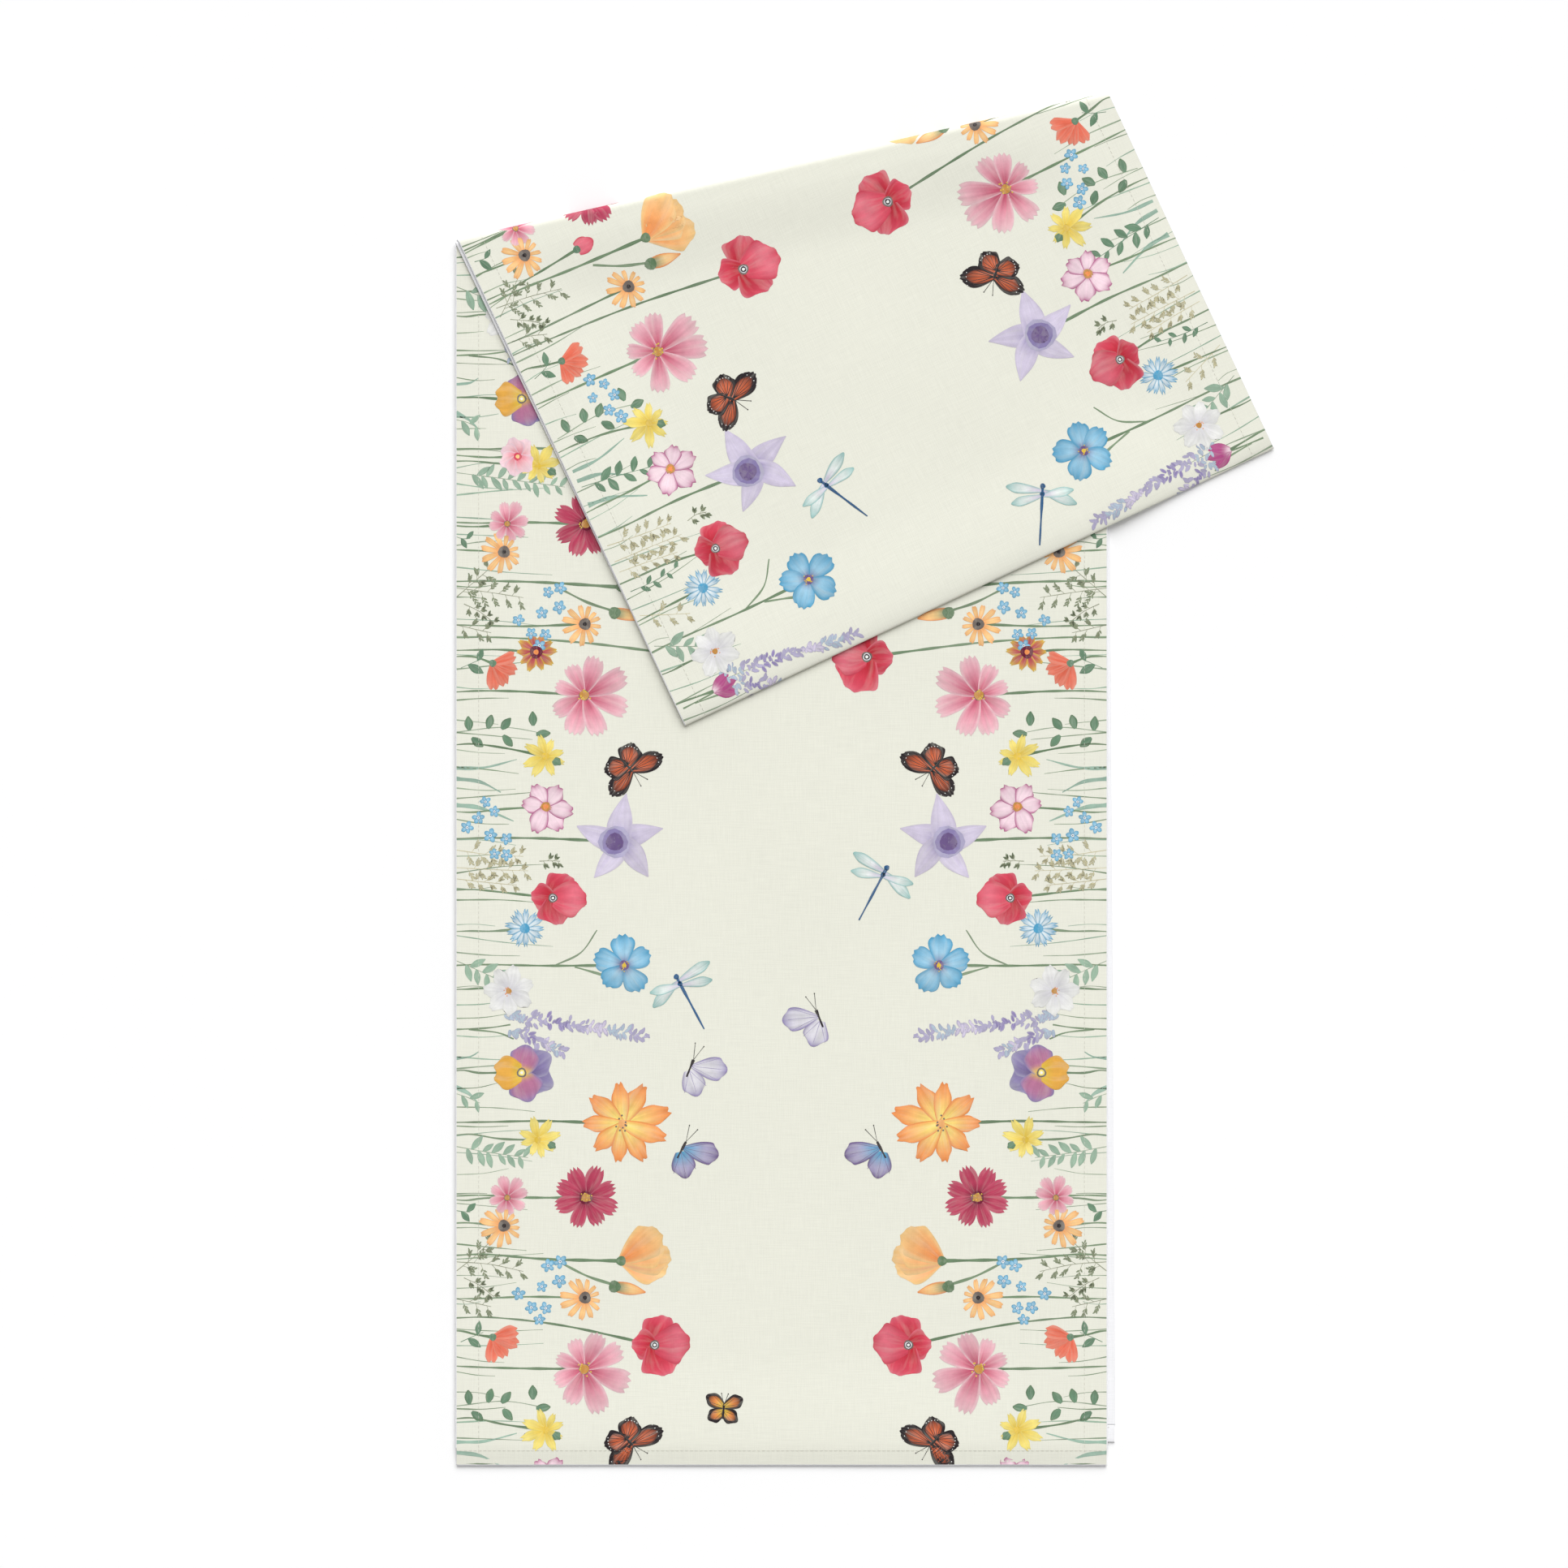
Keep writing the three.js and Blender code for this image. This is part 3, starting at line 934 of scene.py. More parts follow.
FLOWERS = {
    "cosmos": Flower(
        8, Petal(0.24, 0.14, 0.78, 0.8, 0.06, 0.09, 3), ("rose", "cosmos", "pale_cosmos"), 0.8, 4, lean=0.22,
        eye=(("brown", 0.13), ("ochre", 0.12)), dots="gold", fine=12,
    ),
    "small_cosmos": Flower(
        8, Petal(0.24, 0.15, 0.76, 0.75, 0.08, 0.08, 3), ("rose", "cosmos", "pale_cosmos"), 0.75, 4,
        lean=0.15, eye=(("brown", 0.16), ("ochre", 0.13)),
    ),
    "dark_cosmos": Flower(
        8, Petal(0.25, 0.16, 0.72, 0.7, 0.06, 0.13, 3), ("wine", "dark_cosmos", "claret"), 0.5, 5,
        eye=(("wine", 0.2), ("ochre", 0.13)), dots="gold", fine=12,
    ),
    "poppy_back": Flower(
        3, Petal(0.66, 0.42, 0.6, 0.5, 0.2, 0.05, 2), ("crimson", "poppy", "pale_poppy"), 0.9, 9,
        spread=236.0, lean=-0.2, fine=12,
    ),
    "poppy_front": Flower(
        1, Petal(0.56, 0.42, 0.62, 0.55, 0.2, 0.05, 2), ("poppy", "pale_poppy", "poppy"), 0.7, 6, spread=0.0,
        eye=(("brown", 0.14), ("grey", 0.1), ("black", 0.075), ("white", 0.04)), fine=12,
    ),
    "coreopsis": Flower(
        12, Petal(0.12, 0.35, 0.82, 0.75, 0.1, 0.1, 1), ("tangerine", "peach", "apricot"), 0.7, 3, lean=0.22,
        eye=(("brown", 0.28), ("black", 0.1)),
    ),
    "gaillardia": Flower(
        10, Petal(0.2, 0.4, 0.7, 0.55, 0.15, 0.12, 2), ("wine", "dark_cosmos", "gold"), 0.4, 3,
        eye=(("wine", 0.3), ("tangerine", 0.12)),
    ),
    "forget_me_not": Flower(
        5, Petal(0.33, 0.3, 0.66, 0.8, 0.2), ("navy", "sky", "blue"), 0.45, 2,
        eye=(("white", 0.2), ("navy", 0.09)), fine=6,
    ),
    "yellow": Flower(
        8, Petal(0.19, 0.4, 0.7, 0.7, 0.1, 0.16, 2), ("gold", "yellow", "yellow"), 0.8, 5, lean=0.18,
        eye=(("gold", 0.16),),
    ),
    "calyx": Flower(1, Petal(0.5, 0.6, 0.5, 0.5, 0.3), ("leaf", "leaf", "dark_stem"), spread=0.0),
    "lily": Flower(
        9, Petal(0.21, 0.35, 0.66, 0.62, 0.12, 0.1, 2), ("yellow", "apricot", "tangerine"), 0.9, 2.5,
        lean=0.1, eye=(("apricot", 0.1),), dots="brown", fine=12,
    ),
    "geranium": Flower(
        5, Petal(0.38, 0.14, 0.7, 0.72, 0.14, 0.08, 3), ("violet", "sky", "blue"), 0.45, 1.7,
        eye=(("violet", 0.16), ("gold", 0.07)), dots="gold", fine=12,
    ),
    "cornflower": Flower(
        13, Petal(0.14, 0.12, 0.92, 0.85, 0.05, 0.25, 2), ("sky", "white", "blue"), 0.5, 1.8,
        eye=(("blue", 0.24),), dots="blue",
    ),
    "bellflower": Flower(
        5, Petal(0.27, 0.85, 0.34, 0.04, 0.0), ("mauve", "lilac", "lilac"), 0.5, 3,
        eye=(("lavender", 0.36), ("mauve", 0.29), ("violet", 0.2)), dots="violet", fine=12,
        curl=0.28, set_back=0.14,
    ),
    "outlined": Flower(
        6, Petal(0.34, 0.2, 0.68, 0.66, 0.14, 0.12, 2), ("magenta", "blush", "magenta"), 0.3, 7, lean=0.1,
        eye=(("ochre", 0.17), ("tangerine", 0.1)), dots="ochre", fine=12,
    ),
    "white": Flower(
        7, Petal(0.3, 0.16, 0.7, 0.7, 0.16, 0.08, 2), ("grey", "faint", "faint"), 0.9, 5,
        eye=(("ochre", 0.11),), dots="tangerine",
    ),
    "blush_rose": Flower(
        7, Petal(0.5, 0.4, 0.6, 0.6, 0.25, 0.05, 2), ("pale_poppy", "pale_cosmos", "blush"), 0.7, 5,
        eye=(("poppy", 0.2), ("peach", 0.1)),
    ),
    "coral": Flower(
        4, Petal(0.25, 0.35, 0.85, 0.85, 0.05, 0.12, 2), ("coral", "coral", "pale_coral"), 0.5, 3,
        spread=112.0, eye=(("leaf", 0.14),),
    ),
    "cup": Flower(
        4, Petal(0.37, 0.2, 0.76, 0.72, 0.2, 0.05, 2), ("tangerine", "apricot", "peach"), 0.9, 3, spread=50.0,
        eye=(("dark_stem", 0.1),), fine=12,
    ),
    "bud": Flower(
        1, Petal(0.2, 0.8, 0.3, 0.1, 0.0), ("leaf", "peach", "tangerine"), 0.6, 4, spread=0.0,
        eye=(("dark_stem", 0.2),),
    ),
    "crocus": Flower(
        3, Petal(0.24, 0.4, 0.5, 0.1, 0.0), ("blush", "magenta", "magenta"), 0.35, 4, spread=62.0,
    ),
    "pink_bud": Flower(
        1, Petal(0.48, 0.7, 0.5, 0.75, 0.3), ("pale_poppy", "pale_poppy", "poppy"), spread=0.0,
        eye=(("leaf", 0.2),),
    ),
    "pansy_back": Flower(
        2, Petal(0.44, 0.4, 0.62, 0.7, 0.28), ("violet", "mauve", "lavender"), 0.9, 6, spread=54.0, fine=12
    ),
    "pansy_sides": Flower(
        2, Petal(0.56, 0.45, 0.58, 0.7, 0.3), ("gold", "plum", "mauve"), 0.35, 5, spread=158.0, fine=12
    ),
    "pansy_lip": Flower(
        1, Petal(0.6, 0.5, 0.66, 0.8, 0.12, 0.13, 2), ("gold", "amber", "amber"), 0.5, 5, spread=0.0,
        eye=(("brown", 0.17), ("yellow", 0.11), ("white", 0.05)), fine=12,
    ),
}

# Each flower of one repeat, along the left edge: its kind, its place across and along, its radius, the
# way it turns in degrees, the repeats that have it, and where its stem leaves the edge (or None).
BLOOMS = [
    ("yellow", 56, 22, 14.5, 200, "all", 29),
    ("cosmos", 80, 60, 25.5, -20, "all", 62),
    ("poppy_back", 124, 75, 18.5, 176, "first", 92),
    ("poppy_front", 124, 75, 22, 2, "first", None),
    ("poppy_back", 150, 84, 20.5, 176, "later", 96),
    ("poppy_front", 150, 84, 24, 2, "later", None),
    ("coral", 23, 80, 16.5, -38, "all", 84),
    ("coreopsis", 80.5, 104.5, 13.5, 200, "all", 104),
    ("coreopsis", 30, 149.5, 13.5, 200, "all", 151),
    ("cup", 103, 127.5, 31, 12, "all", 131),
    ("bud", 99, 111.5, 19, -8, "all", None),
    ("calyx", 61, 20, 5.5, -40, "all", None),
    ("calyx", 58, 201, 5.5, -40, "all", None),
    ("dark_cosmos", 81, 167, 21, 24, "all", 168),
    ("small_cosmos", 32, 167, 13, 60, "all", 166),
    ("yellow", 51, 203, 13.5, 60, "all", 206),
    ("lily", 104, 213, 28, 20, "all", 214),
    ("outlined", 56, -9.5, 17.5, -60, "first", None),
    ("outlined", 56, 411, 17.5, -60, "all", 408),
    ("geranium", 105, 312, 19.5, 20, "all", 312),
    ("cornflower", 43, 335, 13, 0, "all", 333),
    ("poppy_back", 60.5, 354, 17.5, 172, "all", 359),
    ("poppy_front", 60.5, 354, 21, -4, "all", None),
    ("bellflower", 103, 389, 28, 36, "all", 391),
    ("white", 33, 296, 16.5, 20, "all", 297),
    ("gaillardia", 50, 87, 13.5, 0, "second", 88),
    ("blush_rose", 38.5, 209, 12.5, 0, "second", 210),
    ("crocus", 22, 274, 15, 0, "flap", 276),
    ("pink_bud", 61, 139, 12, 10, "flap", 134),
]

# The parts of a pansy from the back to the front: kind, radius, the way it turns and layer of ink.
PANSY = [("pansy_back", 22, 0, 3), ("pansy_sides", 18, 0, 4.5), ("pansy_lip", 18, 180, 7)]
PANSY_PLACE = (41, 245)

# Where each spike of lavender starts and ends.
LAVENDER = [((30, 281), (119, 268)), ((34, 272), (68, 258))]

FORGET_ME_NOTS = [
    (57.5, 124.5), (65, 127), (64.5, 115), (53.5, 111.5), (39, 107), (56, 98), (47, 98.5), (52, 91),
    (18.5, 414), (24, 408), (7, 398), (21.5, 393), (31.5, 391), (24, 381.5), (31.5, 381), (14, 404),
]

LATER_FORGET_ME_NOTS = [(34, 62), (41, 56), (31, 51), (44, 47), (37, 40), (42, 33)]

# Oval leaves that stand alone: place across and along, and the way they point.
OVAL_LEAVES = [
    (8, 42, 95), (21, 43, 75), (31, 42, 50), (48, 45, 92), (13, 31, -38), (54, 36, 5), (32, 32, -50),
]

# Sprigs: kind, where the stalk starts and ends, how many leaves, their length, and the repeats.
SPRIGS = [
    ("leaf", (1, 424), (47, 417), 8, 11, "flap"),
    ("leaf", (1, 352), (35, 354), 6, 8, "flap"),
    ("seed", (0, 336), (29, 324), 5, 8, "flap"),
    ("pale_leaf", (0, 199), (45, 192), 12, 11, "first"),
    ("pale_leaf", (0, 199), (68, 190), 18, 11, "later"),
    ("pale_leaf", (0, 315), (36, 298), 9, 12, "all"),
    ("leaf", (0, 159), (9, 158), 2, 9, "all"),
    ("leaf", (3, 77), (17, 83), 2, 12, "all"),
    ("wheat", (0, 127), (42, 121), 9, 9, "all"),
    ("wheat", (0, 121), (22, 140), 6, 8, "all"),
    ("wheat", (0, 104), (22, 99), 5, 8, "all"),
    ("wheat", (5, 117), (24, 105), 8, 3.5, "all"),
    ("seed", (0, 384), (42, 380), 10, 7, "all"),
    ("seed", (0, 373), (45, 371), 11, 7, "all"),
    ("seed", (0, 366), (38, 362), 9, 6, "all"),
    ("wheat", (52, 377), (65, 377), 5, 4, "all"),
    ("pale_leaf", (0, 232), (15, 226), 3, 10, "all"),
]

# Long strokes: ink, widths at both ends, and the points that they pass.
STROKES = [
    ("blade", 1.5, 0.3, [(0, 8), (15, 6), (28, -0.5)], "all"),
    ("blade", 1.2, 0.25, [(0, 14.5), (18, 15), (38, 20)], "all"),
    ("blade", 1.6, 0.3, [(0, 412), (16, 410), (36, 402)], "all"),
    ("blade", 1.5, 0.3, [(0, 236), (8, 232), (14, 226)], "all"),
    ("grass", 0.3, 0.2, [(0, 37), (30, 40), (56, 36)], "all"),
    ("stem", 0.6, 0.9, [(66, 126), (82, 118), (97, 113)], "all"),
    ("stem", 0.6, 0.35, [(62, 312), (78, 320), (88, 334)], "all"),
    ("stem", 0.5, 0.8, [(74, 311), (88, 307), (94, 305)], "all"),
    ("stem", 0.5, 0.45, [(8, 272), (26, 270), (36, 266)], "all"),
    ("stem", 0.5, 0.4, [(0, 272), (20, 273), (34, 275)], "all"),
    ("blade", 1.0, 0.25, [(0, 254), (9, 255), (14, 258)], "all"),
]

# Each wing: the way it points from the head's own way, its length, its outline, and where on the body it
# joins.
BUTTERFLY_WINGS = {
    "monarch": [
        (70, 22, Petal(0.3, 0.3, 0.62, 0.5, 0.1, 0.05, 3), 0.0),
        (-84, 21, Petal(0.3, 0.3, 0.62, 0.5, 0.1, 0.05, 3), 0.0),
        (122, 15, Petal(0.5, 0.45, 0.62, 0.6, 0.22, 0.05, 4), 0.35),
        (-122, 15, Petal(0.5, 0.45, 0.62, 0.6, 0.22, 0.05, 4), 0.35),
    ],
    "small": [
        (62, 13, Petal(0.36, 0.3, 0.66, 0.6, 0.15), 0.0),
        (-62, 13, Petal(0.36, 0.3, 0.66, 0.6, 0.15), 0.0),
        (122, 11, Petal(0.42, 0.5, 0.6, 0.6, 0.2), 0.35),
        (-122, 11, Petal(0.42, 0.5, 0.6, 0.6, 0.2), 0.35),
    ],
    "resting": [
        (-140, 17, Petal(0.46, 0.4, 0.66, 0.7, 0.28), 0.55),
        (-74, 23, Petal(0.33, 0.12, 0.84, 0.66, 0.14), 0.3),
    ],
}

# The length of each kind's body, how high its wings' rims are (the higher, the narrower), and its veins.
BUTTERFLY_BODIES = {"monarch": (11.0, 2.6, 5), "small": (8.0, 3.0, 2), "resting": (11.0, 5.0, 3)}

# Butterflies: kind, wing inks, place, the way the head points, the repeats, and the edges that have it.
BUTTERFLIES = [
    ("monarch", ("rust", "rust", "black"), (108, 15), -45, "all", "both"),
    ("small", ("gold", "tangerine", "black"), (167, 35), 85, "first", "left"),
    ("resting", ("blue", "lavender", "violet"), (142, 199), 62, "all", "both"),
    ("resting", ("grey", "grey", "mauve"), (147, 250), 68, "first", "left"),
    ("resting", ("grey", "grey", "mauve"), (WIDTH - 226, 281), 68, "first", "right"),
]

# Dragonflies: how far across they are, and where they are along the left and along the right edge.
DRAGONFLY_ACROSS = 138
DRAGONFLY_TAIL = -62  # the way it points, in degrees
DRAGONFLIES = [(304, 372, "first"), (364, 302, "later")]


def ink_of(name):
    return np.array(getattr(bpy.context.scene.runner_inks, name))


class Drawing:
    """Strokes of ink on the flat cloth, each a small grid of points with its own colours."""

    def __init__(self):
        self.points, self.inks, self.petals, self.faces, self.kinds, self.levels = [], [], [], [], [], []
        self.count = 0

    def stroke(self, places, level, inks, petals, kind):
        """Adds one grid: places, inks and petals are arrays of rows, columns and parts."""
        rows, columns = places.shape[:2]
        self.points.append(np.column_stack([places.reshape(-1, 2), np.full(rows * columns, float(level))]))
        self.inks.append(inks.reshape(-1, 3))
        self.petals.append(petals.reshape(-1, 3))
        faces = grid_faces(rows, columns)
        first, second, third, fourth = (places.reshape(-1, 2)[faces[:, corner]] for corner in range(4))
        along, across = third - first, fourth - second
        # A quad that a sharp tip has turned over would lie in the same plane as its neighbours.
        faces = faces[along[:, 0] * across[:, 1] > along[:, 1] * across[:, 0]] + self.count
        self.faces.append(faces)
        self.kinds.append(np.full(len(faces), kind))
        self.levels.append(np.full(len(faces), level))
        self.count += rows * columns

    def arrays(self):
        parts = (self.points, self.inks, self.petals, self.faces, self.kinds, self.levels)
        return [np.concatenate(part) for part in parts]


def joined(drawings):
    """The arrays of several drawings as one, with the lowest ink first."""
    gathered, count = [], 0
    for points, inks, petals, faces, kinds, levels in drawings:
        gathered.append((points, inks, petals, faces + count, kinds, levels))
        count += len(points)
    points, inks, petals, faces, kinds, levels = (np.concatenate(part) for part in zip(*gathered))
    order = np.argsort(levels, kind="stable")
    return points, inks, petals, faces[order], kinds[order]


def mirrored(arrays):
    """The same ink along the other edge."""
    points, inks, petals, faces, kinds, levels = arrays
    points = points.copy()
    points[:, 0] = WIDTH - points[:, 0]
    return points, inks, petals, faces[:, ::-1], kinds, levels


def direction(degrees):
    return heading(math.radians(degrees))


def paint_petal(
    drawing, start, way, size, petal, inks, level, chance,
    reach=0.5, rim=6.0, kind=PETALS, fine=9, curl=0.0,
):
    """One petal, leaf or wing, from start along way (in degrees) for size."""
    v = np.linspace(0.0, 1.0, fine)[:, None]
    columns = 5 if fine < 7 else 7
    u = np.linspace(-1.0, 1.0, columns + 4 * (petal.width > 0.4))[None, :]
    seed = chance.uniform(0, 20)
    quarter = math.pi / 2
    rising = petal.root + (1 - petal.root) * np.sin(quarter * np.minimum(v / petal.belly, 1))
    past_belly = np.clip((v - petal.belly) / (1 - petal.belly), 0, 1)
    falling = petal.tip + (1 - petal.tip) * np.cos(quarter * past_belly)
    half = np.where(v < petal.belly, rising, falling) * petal.width * (1 + 0.06 * np.sin(5 * v + seed))
    lobes = 0.5 + 0.5 * np.cos(petal.lobes * math.pi * u + 0.6 * math.sin(seed))
    drawn_back = np.minimum(petal.rounding * u**2 + petal.notch * lobes, 0.32)
    outward = size * v * (1 - v**2 * drawn_back)
    sideways = size * (half * u + curl * v**2)
    ahead = direction(way)
    aside = np.array([ahead[1], -ahead[0]])
    places = np.asarray(start) + outward[..., None] * ahead + sideways[..., None] * aside
    heart, body, edge = (ink_of(name) for name in inks)
    u, v = np.broadcast_arrays(u, v)
    share = smooth(v / reach)[..., None]
    rimmed = np.maximum(np.abs(u) ** rim, v**rim)[..., None]
    tint = heart + (body - heart) * share
    tint = (tint + (edge - tint) * rimmed) * chance.uniform(0.9, 1.07)
    petals = np.stack([u, v, np.full(u.shape, seed)], axis=-1)
    drawing.stroke(places, level, tint, petals, kind)


def paint_disc(drawing, centre, radius, ink, level, chance, kind=PETALS, corners=12):
    """A round dab of ink."""
    turn = np.linspace(0.0, 2 * math.pi, corners + 1)[None, :]
    out = np.array([0.04, 0.6, 1.0])[:, None] * radius
    ragged = out * (1 + 0.06 * np.sin(3 * turn + chance.uniform(0, 6)))
    places = np.asarray(centre) + np.stack([-ragged * np.cos(turn), ragged * np.sin(turn)], axis=-1)
    tint = np.broadcast_to(ink_of(ink) * chance.uniform(0.92, 1.05), (*places.shape[:2], 3))
    seed = chance.uniform(0, 20)
    petals = np.stack(np.broadcast_arrays(np.cos(turn) * 0.5, out / radius * 0.8, seed), axis=-1)
    drawing.stroke(places, level, tint, petals, kind)


def through(points, step=3.2):
    """Points of a smooth line through the given ones."""
    points = np.array(points, float)
    padded = np.concatenate([[2 * points[0] - points[1]], points, [2 * points[-1] - points[-2]]])
    line = []
    for index in range(1, len(padded) - 2):
        a, b, c, d = padded[index - 1 : index + 3]
        count = max(2, math.ceil(np.linalg.norm(c - b) / step))
        t = np.linspace(0, 1, count + 1)[:, None]
        square, cube = 2 * a - 5 * b + 4 * c - d, 3 * b - a - 3 * c + d
        part = 0.5 * (2 * b + (c - a) * t + square * t**2 + cube * t**3)
        line.append(part if index == 1 else part[1:])
    return np.concatenate(line)


def paint_line(drawing, points, first, last, ink, level, chance, end_ink=None, kind=GREENERY, step=3.2):
    """A long stroke of changing width through the points."""
    line = through(points, step)
    share = np.linspace(0, 1, len(line))[:, None]
    ahead = np.gradient(line, axis=0)
    ahead /= np.linalg.norm(ahead, axis=1)[:, None]
    aside = np.column_stack([ahead[:, 1], -ahead[:, 0]])
    seed = chance.uniform(0, 20)
    half = (first + (last - first) * share) * (1 + 0.22 * np.sin(share * len(line) * 0.9 + seed)) / 2
    u = np.array([-1.0, 0.0, 1.0])
    places = line[:, None, :] + aside[:, None, :] * (half * u)[:, :, None]
    near, far = ink_of(ink), ink_of(end_ink or ink)
    tint = near + (far - near) * share
    tint = np.repeat(tint[:, None, :], 3, axis=1) * chance.uniform(0.88, 1.1)
    ripple = 0.8 * np.sin(share * len(line) * 0.15)
    petals = np.stack(np.broadcast_arrays(u[None, :] * 0.8, ripple, seed), axis=-1)
    drawing.stroke(places, level, tint, petals, kind)


def petal_share(flower, index):
    """Where a petal stands in its flower's spread: all round, or from side to side of its middle."""
    if flower.spread == 360.0:
        return index / flower.petals
    return index / (flower.petals - 1) - 0.5 if flower.petals > 1 else 0.0


def paint_flower(drawing, name, centre, radius, turn, level, chance):
    """A flower of the list above, with its petals one over the other and its eye on top."""
    flower = FLOWERS[name]
    for index in range(flower.petals):
        uneven = chance.uniform(-0.12, 0.12) * flower.spread / flower.petals
        way = turn + flower.spread * petal_share(flower, index) + uneven
        size = radius * chance.uniform(0.93, 1.05) * (1 + flower.lean * math.cos(math.radians(way - turn)))
        curl = flower.curl + chance.uniform(-0.06, 0.06)
        paint_petal(
            drawing, centre, way, size, flower.petal, flower.inks, level + PETAL_STEP * index % 3, chance,
            flower.reach, flower.rim, fine=flower.fine, curl=curl,
        )
    eye = np.array(centre) - np.array([flower.set_back * radius, 0.0])
    for ring, (ink, share) in enumerate(flower.eye):
        paint_disc(drawing, eye, share * radius, ink, min(EYE_LEVEL + ring, TOP_LEVEL), chance)
    for _ in range(9 if flower.dots else 0):
        away = direction(chance.uniform(0, 360)) * chance.uniform(0.06, 0.2) * radius
        paint_disc(drawing, eye + away, 0.022 * radius, flower.dots, TOP_LEVEL, chance, corners=6)


def paint_flower_stem(drawing, centre, radius, root, chance):
    """From the edge of the cloth to just under the flower, a little wavy and darker at its end."""
    across, along = centre
    end = np.array([across - 0.02 * radius, along])
    middle = [0.55 * end[0], root + 0.35 * (along - root) + chance.uniform(-1.2, 1.2)]
    points = [(-2.0, root), (0.2 * end[0], root + chance.uniform(-0.8, 0.8)), middle, tuple(end)]
    thick = 0.95 + 0.022 * radius
    paint_line(drawing, points, 0.55 * thick, thick * 1.25, "stem", STEM_LEVEL, chance, "dark_stem")


def paint_sprig(drawing, kind, start, end, count, size, chance):
    """A stalk with leaves, ears or seeds on both sides."""
    start, end = np.array(start, float), np.array(end, float)
    bow = np.array([0.0, chance.uniform(-1.5, 1.5)])
    points = [start, (start + end) / 2 + bow, end]
    stalk = through(points, 1.5)
    stalk_ink = "grass" if kind == "pale_leaf" else kind
    paint_line(drawing, points, 0.4, 0.3, stalk_ink, STEM_LEVEL, chance)
    way = math.degrees(math.atan2(*(end - start)[::-1]))
    shapes = {"pale_leaf": Petal(0.2, 0.25, 0.5, 0.1, 0.0), "leaf": Petal(0.24, 0.2, 0.5, 0.1, 0.0)}
    slim = Petal(0.22, 0.3, 0.5, 0.2, 0.0)
    for index in range(count):
        place = stalk[round((0.12 + 0.86 * (index + 0.5) / count) * (len(stalk) - 1))]
        side = 1 if index % 2 else -1
        lean = way + side * chance.uniform(38, 68)
        long = size * chance.uniform(0.75, 1.1) * (1 - 0.3 * index / count)
        if kind in shapes:
            paint_petal(
                drawing, place, lean, long, shapes[kind], (kind, kind, kind), STEM_LEVEL + 1, chance,
                kind=GREENERY, fine=7,
            )
            continue
        ahead = direction(lean)
        paint_line(drawing, [place, place + ahead * long], 0.25, 0.2, kind, STEM_LEVEL, chance)
        for grain in range(6):
            where = place + ahead * long * (0.4 + 0.12 * grain)
            spike = lean + (32 if grain % 2 else -32) + chance.uniform(-12, 12)
            inks = (kind, kind, "wheat" if kind == "seed" else "dark_stem")
            paint_petal(
                drawing, where, spike, 2.6, slim, inks, STEM_LEVEL + 1, chance, kind=GREENERY, fine=4
            )


def paint_lavender(drawing, start, end, chance):
    """A spike of small flowers in loose whorls, on its stalk."""
    start, end = np.array(start, float), np.array(end, float)
    way = math.degrees(math.atan2(*(end - start)[::-1]))
    length_of = np.linalg.norm(end - start)
    count = round(length_of * 1.15)
    inks = ("mist", "lavender", "mauve", "lavender", "lilac", "mist", "lavender")
    floret = Petal(0.25, 0.5, 0.5, 0.5, 0.1)
    for index in range(count):
        share = (index + chance.uniform(-0.3, 0.3)) / count
        aside = chance.uniform(-2.6, 2.6) * (1.1 - 0.5 * share)
        place = start + (end - start) * share + direction(way + 90) * aside
        ink = inks[int(share * 6.9)]
        lean = way + (1 if index % 2 else -1) * chance.uniform(20, 85)
        paint_petal(
            drawing, place, lean, chance.uniform(3.2, 5.2), floret, (ink, ink, "lavender"),
            PETAL_LEVEL + PETAL_STEP * index % 3, chance, fine=4,
        )


def paint_butterfly(drawing, kind, inks, place, head, chance):
    """Wings with dark rims and veins, a slim body and two feelers. inks are the wings' root, cell and rim."""
    place = np.array(place, float)
    along = direction(head)
    body, rim, veins = BUTTERFLY_BODIES[kind]
    for index, (away, size, outline, joint) in enumerate(BUTTERFLY_WINGS[kind]):
        root = place - along * body * (joint - 0.2)
        way = head + away
        level = WING_LEVEL + PETAL_STEP * index
        if kind != "resting":
            rims = ("black",) * 3
            paint_petal(drawing, root, way, size, outline, rims, level, chance, kind=WINGS, fine=12)
            size *= 0.86
            outline = replace(outline, width=outline.width * 0.84)
        paint_petal(
            drawing, root, way, size, outline, inks, level + 0.3, chance,
            0.7, rim, kind=WINGS, fine=12,
        )
        for vein in range(veins):
            share = (vein + 0.5) / veins - 0.5
            tip = root + direction(way + share * 78 * outline.width / 0.4) * size * 0.84
            wide, ink = (0.55, "black") if kind == "monarch" else (0.25, inks[2])
            paint_line(drawing, [root, tip], wide, 0.2, ink, level + 1, chance, kind=WINGS)
        if kind == "monarch":
            for spot in range(5):
                where = root + direction(way + (spot - 2) * 9.0) * size * 0.93
                paint_disc(drawing, where, 0.32, "white", TOP_LEVEL, chance, WINGS, 6)
    tail, nose = place - along * body * 0.75, place + along * body * 0.3
    middle = (tail + nose) / 2
    paint_line(drawing, [tail, middle, nose], 0.9, 1.7, "black", TOP_LEVEL, chance, kind=WINGS, step=1.5)
    for side in (-1, 1):
        feeler = nose + direction(head + side * 16) * body * 0.95
        paint_line(drawing, [nose, feeler], 0.3, 0.3, "black", WING_LEVEL, chance, kind=WINGS)
        paint_disc(drawing, feeler, 0.42, "black", WING_LEVEL + 1, chance, WINGS, 6)


